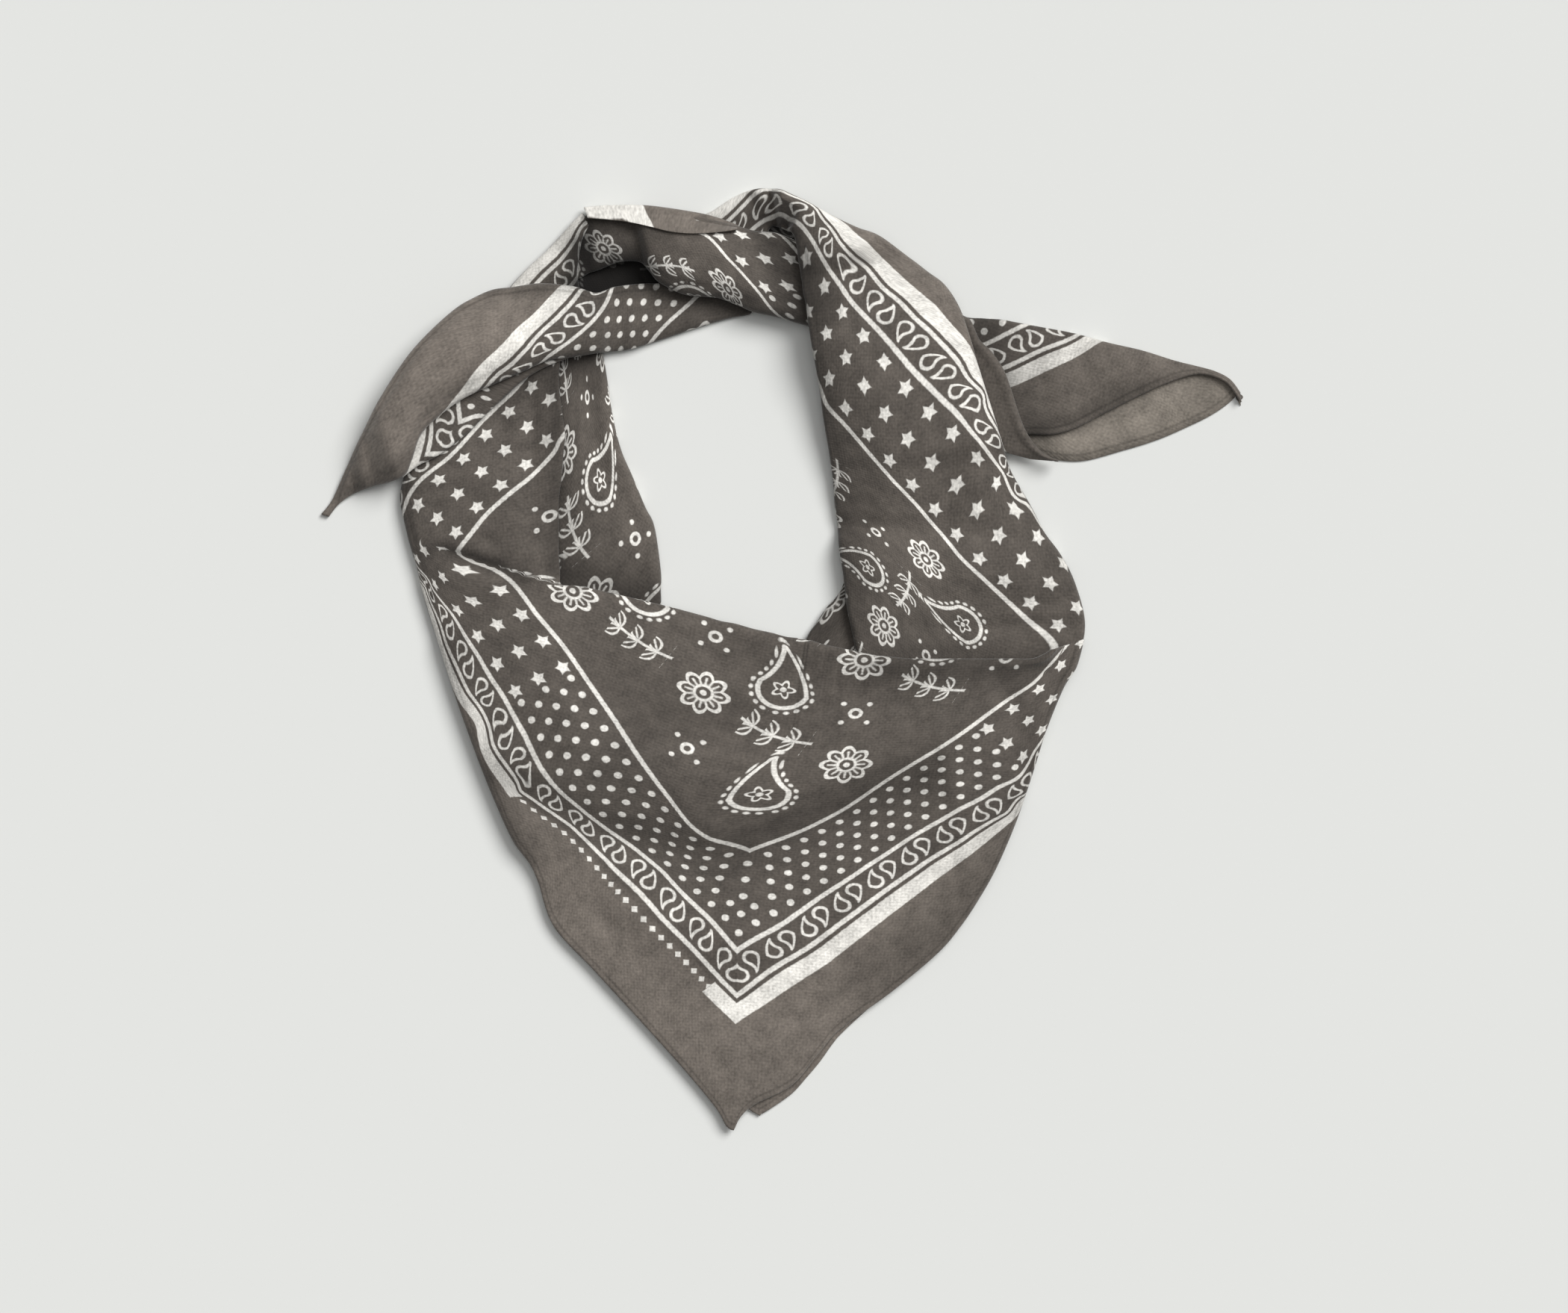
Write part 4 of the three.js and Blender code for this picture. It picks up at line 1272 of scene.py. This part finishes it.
@dataclass
class Front:
    """The left side of the neck and the triangle that it opens into, over the square's other corner."""

    name: str = "front_cloth"
    back_name: str = "bib_back_cloth"
    front: Tuple[Section, ...] = cuts(
        dict(outer_low=FLOOR, outer_loft=LEFT_ARM_LOFT, outer_tuck=SIDE_TUCK, inner_low=ON_LEFT_NECK,
             inner_loft=1.2, inner_tuck=1.4),
        (-102.5, 117.5, -71, 117.5), (-112.5, 104.5, -72, 107.5), (-119.5, 93, -71, 97),
        (-126.5, 82.5, -69.5, 86), (-130.5, 75, -70, 81), (-133.5, 65, -71, 69, dict(crown=2.5)),
        (-133.5, 59, -72, 61), (-132, 52, -72, 49.5, dict(crown=4.0)), (-130, 44, -72, 40.5),
        (-127, 34, -71.5, 33, dict(crown=2.5)), (-125.5, 27, -71, 28), (-121, 12, -65.5, 27.5),
        (-117.5, 1.5, -59.5, 26.5, dict(outer_low=ON_BACK_HEM, outer_loft=PANEL_SIDE_LOFT, crown=3.0,
                                        inner_loft=PANEL_LOFT, inner_tuck=NECK_TUCK)),
        (-113, -13, -50.5, 24.5), (-105, -35.5, -39.5, 22), (-97.5, -54.5, -29, 19.5),
        (-90, -71, -19.5, 17, dict(inner_low=ON_NECK_RUN)),
        (-83.5, -80, -14, 15.5, dict(outer_loft=3.6, outer_tuck=7.0)),
        (-80, -87.5, -9, 14, dict(outer_loft=2.4, outer_tuck=3.0, crown=2.0)),
        (-74, -104.5, -3.5, 13, dict(outer_loft=HEM_LOFT, outer_tuck=HEM_TUCK, crown=1.5)),
        (-58.5, -121.5, 3.5, 11), (-40.5, -141, 10.5, 9.5), (-23, -160.5, 16, 8), (-11, -175, 20, 7.5),
        (-7, -182, 22, 7), (-4.5, -183.5, 23.5, 7, dict(corner=True)),
        (-2, -178.5, 24.5, 6.5, dict(inner_low=6.2)), (3.5, -173.5, 26, 6.5, dict(inner_low=7.0)),
        (18, -166, 30.5, 5, dict(inner_low=8.2)), (28.5, -153.5, 35.5, 4, dict(inner_low=9.4)),
        (36.5, -144.5, 40, 3, dict(inner_low=10.2)), (56.5, -130, 49.5, 1, dict(inner_low=ON_ARM_INNER)),
        (74.5, -115, 58.5, 0, dict(outer_loft=2.4, outer_tuck=3.0, crown=2.0)),
        (83.5, -104.5, 65, -0.5, dict(outer_loft=3.6, outer_tuck=7.0, crown=2.5)),
        (90.5, -94, 71, -0.5, dict(outer_loft=PANEL_SIDE_LOFT, outer_tuck=SIDE_TUCK, crown=3.0)),
        (97.5, -81.5, 79, -0.5), (105, -64, 87.5, -0.5), (111.5, -45, 96.5, -0.5, dict(crown=1.5)),
        (116.5, -29, 103.5, -0.5, dict(outer_low=ON_ARM_END)), (123.5, -12, 111, -0.5, dict(crown=0.0)),
        (128.5, -4, 115, 1, dict(outer_tuck=NECK_TUCK)), (131.5, 7, 118, 2.5),
    )
    back: Tuple[Section, ...] = cuts(
        dict(low=FLOOR, outer_loft=HEM_LOFT * 0.8, outer_tuck=HEM_TUCK, inner_loft=0.0, inner_tuck=0.0),
        (-110, -10, -69, -7), (-92, -56.5, -40, -7), (-76, -88.5, -19.5, -7), (-56, -117.5, -8, -7),
        (-16.5, -159.5, 3.5, -7), (3, -176.5, 11, -7), (6, -177.5, 12.5, -7, dict(corner=True)),
        (9.5, -175.5, 14, -7), (18, -169.5, 18, -7), (23.5, -163.5, 21, -7), (29, -157, 24, -7),
        (34, -150, 28.5, -7), (39.5, -144, 32.5, -7), (63, -122, 47, -10), (87, -93.5, 64.5, -11.5),
        (102, -55, 85, -11.5), (111, -30.5, 102, -14.5),
    )

    def sheets(self) -> List[Sleeve]:
        """Give both corners of the square.

        Returns:
            The back corner and the front one.
        """
        return [
            Sleeve(
                self.back_name, self.back, BIB_LINES, flat=(200, 200), area=24900,
                stands_for=("bib_back",), hem=Hem.OUTER, crease_height=0.0, seed=5,
            ),
            Sleeve(
                self.name, self.front, BIB_LINES, flat=(262, 350), area=44460, upper=LEFT_ARM_LINES,
                parting=((-136, 47), (-117, 42.5), (-101.5, 37), (-86, 31.5), (-72, 28)),
                rests_on=("bib_back_cloth", "neck_cloth"), stands_for=("left_arm", "bib_front"),
                hem=Hem.OUTER, fall=3.0, seed=6, crease_size=30, crease_run=0.2, crease_height=0.5,
                folds=(
                    Fold(((-106, 7), (-101, -46.5), (-72, -61), (-40, -72.5), (-11, -77), (24, -66),
                          (58.5, -49.5), (104, -33)), -3.4, 8.0),
                    Fold(((-87, 7), (-60, -36), (-30, -46), (10, -46), (50, -34), (90, -15)), 2.6, 12.0),
                    Fold(((-64, -95), (-11, -110), (58, -88)), 1.8, 11.0),
                    Fold(((-30, -140), (0, -150), (20, -140)), 0.9, 8.0),
                    Fold(((-66, -92), (-36, -122), (-12, -160)), -1.0, 6.0),
                    Fold(((10, -150), (40, -120), (76, -88)), -0.9, 6.0),
                    Fold(((-122, 43), (-114, 40.5), (-101, 36), (-90, 33)), -2.6, 2.2),
                    Fold(((-124, 36), (-110, 31), (-92, 26)), 1.5, 5.0),
                    Fold(((-128, 56), (-108, 47), (-90, 42)), -1.2, 6.0),
                    Fold(((-120, 90), (-100, 72), (-84, 58)), 1.4, 8.0),
                    Fold(((-84, 112), (-82, 84), (-80, 50), (-78, 36)), -1.8, 5.0),
                    Fold(((-100, 112), (-92, 84)), -1.0, 4.0),
                    Fold(((-40, 16), (10, -6), (60, -12), (108, -8)), -1.5, 8.0),
                ),
                # Painted shade in the tuck, creases and valleys, and painted light on the crowns of the
                # panel.
                shading_spots=(
                    Fold(((-120, 43), (-101.5, 37), (-86, 31.5)), -0.45, 3.5),
                    Fold(((-118, 92), (-80, 113)), -0.5, 8.0),
                    Fold(((-134, 62), (-122, 88)), -0.3, 6.0),
                    Fold(((-117, 6), (-97, -56), (-86, -76)), -0.25, 7.0),
                    Fold(((-98, -44), (-66, -62), (-11, -78), (24, -66), (70, -46)), -0.3, 9.0),
                    Fold(((-50, -40), (-30, -20), (0, -24)), -0.14, 12.0),
                    Fold(((50, -3), (112, -3)), -0.35, 7.0),
                    Fold(((-70, 8), (-44, 4), (-10, -8)), 0.16, 12.0),
                    Fold(((-20, -40), (20, -44), (70, -26)), 0.12, 12.0),
                    Fold(((-62, -96), (-30, -128), (-8, -150), (30, -122), (76, -90)), 0.08, 14.0),
                    Fold(((112, -45), (96, -84), (76, -106), (50, -122)), -0.3, 12.0),
                    Fold(((-73, 112), (-73, 34)), -0.35, 3.5),
                ),
            ),
        ]


@dataclass
class RightArm:
    """The right side of the neck, that runs up over the knot and round behind it."""

    name: str = "right_arm_cloth"
    sections: Tuple[Section, ...] = cuts(
        dict(outer_low=FLOOR, outer_loft=ARM_END_LOFT, inner_low=ON_NECK_RUN, inner_loft=ARM_INNER_LOFT,
             tuck=NECK_TUCK),
        (122.5, -7, 44, -7), (130, 3.5, 43, 2), (132, 11, 41.5, 10, dict(outer_tuck=SIDE_TUCK)),
        (131, 19.5, 39.5, 19.5, dict(outer_loft=5.0, crown=1.5)),
        (127, 31.5, 38, 32.5, dict(outer_loft=ARM_LOFT, crown=3.0)), (122, 40.5, 36.5, 42),
        (116.5, 48, 36, 51, dict(inner_low=FLOOR)), (111, 58.5, 35, 58, dict(inner_low=1.5, crown=4.0)),
        (103, 72.5, 34, 69.5, dict(outer_low=ON_BACK, inner_low=3.5)),
        (99.5, 83.5, 32.5, 80, dict(outer_low=ON_RIGHT_TAIL + 0.7, inner_low=5.5)),
        (96, 95, 30.5, 91.5, dict(inner_low=7.5)), (92.5, 106, 29, 103, dict(inner_low=9.5)),
        (89.5, 116, 27.5, 111.5, dict(inner_low=11.5, crown=3.0)),
        (87, 124.5, 26, 119.5, dict(inner_low=ON_CROSSING)), (83, 135.5, 24.5, 129),
        (77.5, 144, 23.5, 136.5, dict(outer_low=ON_RETURN)), (71, 149, 22.5, 141), (64.5, 154, 22, 145.5),
        (52, 162.5, 21, 151.5, dict(outer_low=ON_CROSSING, inner_loft=OVER_KNOT_LOFT)),
        (44, 165.5, 20.5, 155), (36.5, 169, 20, 159, dict(outer_loft=OVER_KNOT_LOFT, crown=0.0)),
        (30, 172.5, 19, 162.5), (25, 175.5, 18, 164),
        (18.5, 178.5, 16.5, 165, dict(inner_low=ON_RETURN, inner_loft=RETURN_LOFT)), (14, 180.5, 14.5, 166),
        (9.5, 181.5, 12.5, 167, dict(outer_low=ON_RETURN, inner_low=FLOOR, outer_loft=RETURN_LOFT)),
        (5, 181.5, 10.5, 167), (0, 180.5, 9, 164.5, dict(outer_low=FLOOR)), (-6, 177.5, 10.5, 158),
        (-12, 173.5, 11, 153), (-17.5, 170, 11, 148), (-26, 157, 8.5, 141),
    )

    def sheets(self) -> List[Sleeve]:
        """Give the arm's sheet.

        Returns:
            The sheet.
        """
        return [Sleeve(
            self.name, self.sections, RIGHT_ARM_LINES, flat=(90, 262), area=21000,
            rests_on=("knot_cloth", "right_tail_cloth"), stands_for=("right_arm",), seed=8,
            crease_size=26, crease_run=2.2, crease_height=0.4,
            folds=(
                Fold(((42, 4), (52, 40), (56, 80), (50, 120)), 1.4, 9.0),
                Fold(((60, 0), (76, 40), (80, 90)), -1.4, 8.0),
                Fold(((118, 24), (96, 52), (86, 92), (66, 130)), 1.0, 8.0),
            ),
            # Painted shade along the inner edge, under the knot and at the ends, and painted light on the
            # middle.
            shading_spots=(
                Fold(((22, 150), (26, 119), (30, 92), (35, 58), (40, 20), (44, -4)), -0.35, 8.0),
                Fold(((-12, 165), (6, 170), (14, 166)), -0.4, 7.0),
                Fold(((20, 166), (24, 150), (30, 136)), -0.4, 7.0),
                Fold(((60, 0), (120, -2)), -0.3, 8.0),
                Fold(((128, 30), (110, 60), (100, 84)), -0.2, 6.0),
                Fold(((60, 60), (76, 30), (90, 10)), 0.12, 16.0),
            ),
        )]


@dataclass
class Knot:
    """The strand that rises on the left and crosses over, with its turned top edge."""

    rise: Tuple[Section, ...] = cuts(
        dict(low=FLOOR, outer_loft=LEFT_ARM_LOFT, outer_tuck=NECK_TUCK, inner_loft=3.0, inner_tuck=4.0),
        (-101.5, 120, -60, 119), (-99.5, 127.5, -61.5, 127.5), (-95.5, 136.5, -63, 136.5),
        (-91, 143.5, -64, 142.5),
        (-83.5, 151.5, -65, 148.5, dict(inner_low=4.6, inner_loft=2.6, inner_tuck=2.0)),
        (-77.5, 157, -64.5, 153), (-72, 163, -64, 157), (-66.5, 169, -63, 162, dict(outer_low=2.0)),
        (-63, 172.6, -60.5, 167, dict(outer_low=0.8)),
    )
    wrap: Tuple[Section, ...] = cuts(
        dict(low=FLOOR, outer_loft=2.0, outer_tuck=6.0, inner_loft=1.5, inner_tuck=4.0),
        (-70, 162, -68, 146), (-65.5, 168, -64, 147),
        (-61.5, 171.3, -60.5, 149, dict(outer_low=1.0, outer_loft=5.0, inner_low=ON_BACK)),
        (-57.5, 172.6, -57, 150, dict(outer_loft=LEFT_ARM_LOFT, inner_loft=3.0, crown=1.0)),
        (-51.5, 172.8, -48.5, 153, dict(outer_low=ON_BACK, inner_low=ON_RETURN)),
        (-44.5, 172.6, -40.5, 153),
        (-38.5, 172.2, -36.5, 149, dict(outer_low=ON_RETURN, loft=CROSSING_LOFT, crown=3.0)),
        (-32.5, 172, -33, 145), (-24, 171.5, -24, 140.5), (-17.5, 171, -16.5, 139.5),
        (-10.5, 169, -10.5, 139), (-3, 167, -3.5, 136.5), (4, 165, 3.5, 133.5),
        (11, 164.5, 10.5, 132, dict(crown=0.0)), (18, 162, 18, 130), (32.5, 155, 32, 124.5),
        (52.5, 148, 47, 110, dict(low=FLOOR, loft=RIGHT_TAIL_LOFT)),
    )
    hollow: Tuple[Section, ...] = cuts(
        dict(low=FLOOR, loft=0.0, tuck=0.0),
        (-70, 160, -70, 141), (-62, 164, -62, 140), (-54, 165, -54, 139.5), (-47, 165, -47, 139.5),
        (-43.5, 165, -43, 143), (-36, 163, -36, 144.2), (-24, 160, -30, 146),
    )
    pocket: Tuple[Section, ...] = cuts(
        dict(low=FLOOR, loft=0.0, tuck=0.0),
        (4, 172, 4, 154), (15.5, 171, 15.5, 150), (27, 166, 27, 150),
    )
    lip: Tuple[Section, ...] = cuts(
        dict(outer_low=2.4, outer_loft=6.6, outer_tuck=3.0, inner_low=10.2, inner_loft=0.0, inner_tuck=0.0),
        (-62.5, 174.5, -60.5, 169.5), (-58, 175, -57, 169.3),
        (-53, 175.2, -52, 168.8, dict(outer_low=3.4, inner_low=11.6)),
        (-44.5, 175.2, -43.5, 167.5, dict(outer_low=5.8, outer_loft=7.6, inner_low=14.2)),
        (-37, 174.8, -35.5, 165.6, dict(outer_low=6.6, inner_low=15.8)), (-30.5, 174, -29, 164),
        (-22.5, 172.8, -21.5, 163.2), (-14.5, 171.3, -14.5, 163.4, dict(inner_low=15.6)),
        (-7.5, 169.2, -8, 164.0, dict(inner_low=15.2)), (-2.5, 167.2, -3.2, 164.8, dict(inner_low=14.8)),
    )

    def sheets(self) -> List[Sleeve]:
        """Give the strand in its stretches, and the cloth that shows inside it.

        Returns:
            Two stretches, the turned edge, and the cloth inside.
        """
        return [
            Sleeve(
                # Painted shade: the rising strand is darkened, more where it turns in under the knot.
                "knot_rise_cloth", self.rise, RISE_LINES, flat=(56, 50), area=2290, painted_shading=0.9,
                shading_spots=(Fold(((-60, 132), (-64, 146), (-63, 158)), -0.85, 8.0),
                     Fold(((-100, 120), (-62, 120)), -0.5, 9.0)),
                stands_for=("knot_wrap",), seed=11, crease_size=14, crease_run=0.9,
            ),
            Sleeve(
                "knot_cloth", self.wrap, KNOT_LINES, flat=(62, 118), area=6540,
                rests_on=("right_arm_cloth", "left_tail_cloth"), stands_for=("knot_wrap",), seed=12,
                crease_size=16, crease_run=0.0, crease_height=0.4,
                folds=(Fold(((-50, 160), (-20, 152), (20, 146)), -1.0, 5.0),),
                # Painted shade in the knot's hollows and under its turned edge, and painted light on its
                # crown.
                shading_spots=(Fold(((-64, 164), (-60, 150), (-44, 151)), -0.85, 9.0),
                     Fold(((-44, 154), (-30, 143), (-4, 138), (16, 132)), -0.4, 6.0),
                     Fold(((8, 166), (16, 150), (24, 128)), -0.5, 7.0),
                     Fold(((-58, 168), (-30, 163)), -0.35, 4.0),
                     Fold(((-36, 158), (0, 152)), 0.15, 8.0)),
            ),
            Sleeve(
                "knot_edge_cloth", self.lip, LIP_TOP_LINES, flat=(20, 64), area=890,
                rests_on=("knot_cloth",), seed=13, crease_size=12, crease_height=0.15,
            ),
            Sleeve(
                "knot_hollow_shade_cloth", self.hollow, KNOT_LINES, flat=(26, 46), area=930,
                # Painted shade: this sheet is darkened nearly to black to stand for the shade deep inside
                # the knot.
                painted_shading=0.07, seed=14, crease_height=0.0,
            ),
            Sleeve(
                "knot_pocket_shade_cloth", self.pocket, KNOT_LINES, flat=(21, 24), area=460,
                # Painted shade: this sheet is darkened nearly to black to stand for the shade deep inside
                # the knot.
                painted_shading=0.12, seed=14, crease_height=0.0,
            ),
        ]


@dataclass
class LeftTail:
    """The end that leaves the knot on the left, with the lip of its under ply."""

    main: Tuple[Section, ...] = cuts(
        dict(low=FLOOR, loft=RETURN_LOFT, tuck=NECK_TUCK),
        (-27, 155, 7, 138.5), (-30.5, 148.5, 3, 133.5), (-33, 145.5, -6.5, 131.5), (-35, 145, -19.5, 127.5),
        (-38.5, 145, -31.5, 123.5), (-44, 144.5, -44, 119.5, dict(low=ON_BACK)),
        (-51, 143.5, -51, 118.5),
        (-57.5, 141, -57.5, 117.5, dict(low=ON_LEFT_NECK, loft=LEFT_TAIL_LOFT)),
        (-66.5, 143.5, -66.5, 116),
        (-79, 144.5, -76, 114.5, dict(low=ON_LEFT_ARM)),
        (-90, 143, -86.5, 110, dict(crown=4.5)), (-97.5, 142, -95.5, 106), (-105.5, 138.5, -103.5, 102.5),
        (-112, 134.5, -111, 98.5), (-121, 126.5, -119.5, 92), (-128.5, 118.5, -125.5, 85.5),
        (-135, 109.5, -129, 75.5), (-141.5, 99, -132.5, 69.5),
        (-148.5, 86, -144.5, 66, dict(low=ON_BACK_HEM, crown=1.5)),
        (-154.5, 73.5, -151.5, 63.5, dict(low=FLOOR, loft=RETURN_LOFT)),
        (-160, 61.5, -157.5, 59.5, dict(loft=HEM_LOFT, crown=0.0)),
        (-164.5, 55.5, -161.5, 54.5),
    )
    lip: Tuple[Section, ...] = cuts(
        dict(low=ON_LEFT_ARM - 1.0, outer_loft=0.6, outer_tuck=1.0, inner_loft=2.0, inner_tuck=2.0),
        (-69, 123, -67.5, 116), (-80.5, 119, -78.5, 111.5), (-89, 115.5, -87, 106),
        (-99.5, 110, -97.5, 96.5), (-108, 106, -106, 88), (-115.5, 101.5, -113, 82),
        (-121, 97, -119.5, 77.5), (-127, 91.5, -126.5, 74), (-131, 84, -132.5, 69.5),
    )

    def sheets(self) -> List[Sleeve]:
        """Give the end's two plies.

        Returns:
            The upper ply and the lip below it.
        """
        return [
            Sleeve(
                "left_tail_cloth", self.main, LEFT_TAIL_LINES, flat=(66, 170), area=9490,
                rests_on=("front_cloth", "right_arm_cloth"), stands_for=("left_tail",), hem=Hem.OUTER,
                seed=15, crease_size=22, crease_run=0.7, crease_height=0.4,
                folds=(Fold(((-60, 132), (-100, 124), (-140, 84)), 1.0, 9.0),),
                # Painted shade along the edges and near the knot, and painted light down the middle.
                shading_spots=(Fold(((-150, 66), (-132, 72), (-104, 102), (-60, 117), (-20, 128)), -0.3, 6.0),
                     Fold(((-100, 142), (-72, 144), (-40, 144)), -0.35, 5.0),
                     Fold(((-30, 146), (0, 134)), -0.5, 8.0),
                     Fold(((-140, 84), (-118, 112), (-98, 126)), 0.3, 14.0)),
            ),
            Sleeve(
                "left_tail_lip_cloth", self.lip, LEFT_LIP_LINES, flat=(22, 78), area=1390,
                # Painted shade: the lip under the upper ply is darkened.
                rests_on=("front_cloth",), painted_shading=0.85, seed=16, crease_size=12, crease_height=0.2,
            ),
        ]


@dataclass
class RightTail:
    """The end that leaves the knot on the right, one leaf over the other, and the plain border over it."""

    leaf: Tuple[Section, ...] = cuts(
        dict(outer_low=FLOOR, outer_loft=RIGHT_TAIL_LOFT, outer_tuck=36.5, inner_low=ON_BACK,
             inner_loft=HEM_LOFT, inner_tuck=HEM_TUCK),
        (54, 147.5, 49, 110), (70.5, 139, 73, 96.5, dict(outer_tuck=44.0)),
        (84, 132.5, 90.5, 87, dict(outer_tuck=49.0)), (92.5, 131.5, 102, 86.5, dict(outer_tuck=51.0)),
        (99.5, 131, 112, 86.5, dict(outer_tuck=53.0)), (107.5, 129.5, 120, 86.5, dict(outer_tuck=53.5)),
        (115.5, 128, 128.5, 89, dict(outer_tuck=52.5, crown=1.5)),
        (128.5, 125.5, 141, 95.5, dict(outer_tuck=47.0)), (141, 122, 154, 102, dict(outer_tuck=41.0)),
        (154, 119, 163, 106, dict(outer_tuck=33.0)),
        (166.5, 115, 173.5, 109.5, dict(outer_tuck=25.0, crown=0.0)),
        (174.5, 113, 180, 109.5, dict(outer_tuck=19.0, outer_loft=ON_BACK)),
        (182, 111, 186.5, 107, dict(outer_tuck=14.0)), (188, 108, 190, 103, dict(outer_tuck=8.0)),
        (192, 103, 192.5, 98.5, dict(outer_tuck=4.0)),
    )
    flap: Tuple[Section, ...] = cuts(
        dict(low=ON_RIGHT_TAIL - 1.0, outer_loft=3.6, outer_tuck=3.0, inner_loft=0.0, inner_tuck=0.0),
        (80.5, 140, 66, 132), (84, 133, 70, 125), (87.5, 130.5, 74, 118), (91, 123, 78, 110),
        (95.5, 118.5, 82, 104.5), (100, 112, 84, 98.5), (103, 104.5, 86, 93), (105.5, 96.5, 87.5, 89),
        (108.5, 88.5, 90, 85.5), (112.5, 82, 94, 82.5), (117, 78, 101, 79.5), (122, 76, 110, 77),
    )

    def sheets(self) -> List[Sleeve]:
        """Give the end's leaves and the border that lies over them.

        Returns:
            The leaves as one sheet, and the border.
        """
        return [
            Sleeve(
                "right_tail_cloth", self.leaf, RIGHT_TAIL_LINES, flat=(90, 145), area=10600,
                stands_for=("right_tail",), hem=Hem.INNER, long_leaf=True, seed=18, crease_size=20,
                # Painted shade: the leaves are darkened overall, more beside the flap and along the fold,
                # with painted light on the lower leaf.
                crease_run=-0.2, crease_height=0.3, painted_shading=0.82,
                shading_spots=(Fold(((92, 132), (98, 112), (112, 88)), -0.45, 9.0),
                     Fold(((128, 84), (146, 90), (168, 100)), 0.22, 7.0),
                     Fold(((112, 88), (128, 92), (141, 98), (154, 104)), -0.35, 4.0),
                     Fold(((128, 114), (160, 114)), 0.1, 8.0)),
            ),
            Sleeve(
                "right_flap_cloth", self.flap, FLAP_LINES, flat=(24, 84), area=1780,
                # Painted shade: the border, turned away from the light, is darkened.
                rests_on=("right_tail_cloth",), fall=0.45, painted_shading=0.66, seed=19, crease_size=14,
                crease_height=0.2,
            ),
        ]


@dataclass
class Studio:
    """A pale floor, soft light from the upper right and a camera straight above."""

    frame_width: float = 0.609
    camera_height: float = 2.4
    middle: Tuple[float, float] = (0.0010, 0.0012)
    sensor: float = 36.0
    floor_size: float = 6.0
    floor_colour: str = "#e4e5e2"
    world_strength: float = 0.16

    def build(self) -> None:
        """Make the floor, the lights and the camera."""
        self._floor()
        self._light("softbox", place=(0.8, 0.75, 1.25), spread=34.0, power=2.75)
        self._light("overhead", place=(-0.05, 0.15, 1.6), spread=40.0, power=0.566)
        world = bpy.data.worlds.new("studio")
        world.use_nodes = True
        sky = world.node_tree.nodes["Background"]
        sky.inputs["Color"].default_value = linear("#ffffff")
        sky.inputs["Strength"].default_value = self.world_strength
        bpy.context.scene.world = world
        bpy.context.scene.view_settings.view_transform = "Standard"
        self._camera()

    def _camera(self) -> None:
        """Hang the camera over the cloth."""
        data = bpy.data.cameras.new("camera")
        data.sensor_width = self.sensor
        data.lens = self.sensor * self.camera_height / self.frame_width
        camera = bpy.data.objects.new("camera", data)
        camera.location = (*self.middle, self.camera_height)
        bpy.context.scene.collection.objects.link(camera)
        bpy.context.scene.camera = camera

    def _light(self, name: str, place: Tuple[float, float, float], spread: float, power: float) -> None:
        """Add one distant soft light that looks at the cloth.

        Args:
            name: the light's name.
            place: where it stands, metres.
            spread: how wide it looks from the cloth, degrees.
            power: its strength.
        """
        data = bpy.data.lights.new(name, "SUN")
        data.angle = math.radians(spread)
        data.energy = power
        light = bpy.data.objects.new(name, data)
        light.location = place
        light.rotation_euler = (-Vector(place)).to_track_quat("-Z", "Y").to_euler()
        bpy.context.scene.collection.objects.link(light)

    def _floor(self) -> None:
        """Lay the floor, with no edge in view."""
        bpy.ops.object.select_all(action="DESELECT")
        bpy.ops.mesh.primitive_plane_add(size=self.floor_size, location=(0, 0, 0))
        floor = bpy.context.active_object
        floor.name = "floor"
        paper = bpy.data.materials.new("seamless_paper")
        paper.use_nodes = True
        surface = paper.node_tree.nodes["Principled BSDF"]
        surface.inputs["Base Color"].default_value = linear(self.floor_colour)
        surface.inputs["Roughness"].default_value = 0.9
        floor.data.materials.append(paper)


def main() -> None:
    """Build the neckerchief and the studio round it."""
    logging.basicConfig(level=logging.INFO, format="%(name)s: %(message)s")
    printed = BandanaPrint()
    cloth = [
        PrintedCotton("printed_cotton_face", "#6a635c", "#ece9e2", 0.96).make(printed),
        PrintedCotton("printed_cotton_reverse", "#7d766d", "#c9c4bb", 0.25).make(printed),
    ]
    Studio().build()
    for part in (Front(), NeckBand(), RightArm(), Knot(), LeftTail(), RightTail()):
        for sheet in part.sheets():
            finish_sheet(sheet.build(cloth), sheet)
        LOG.info("built %s", type(part).__name__)
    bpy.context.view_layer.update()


if __name__ == "__main__":
    main()
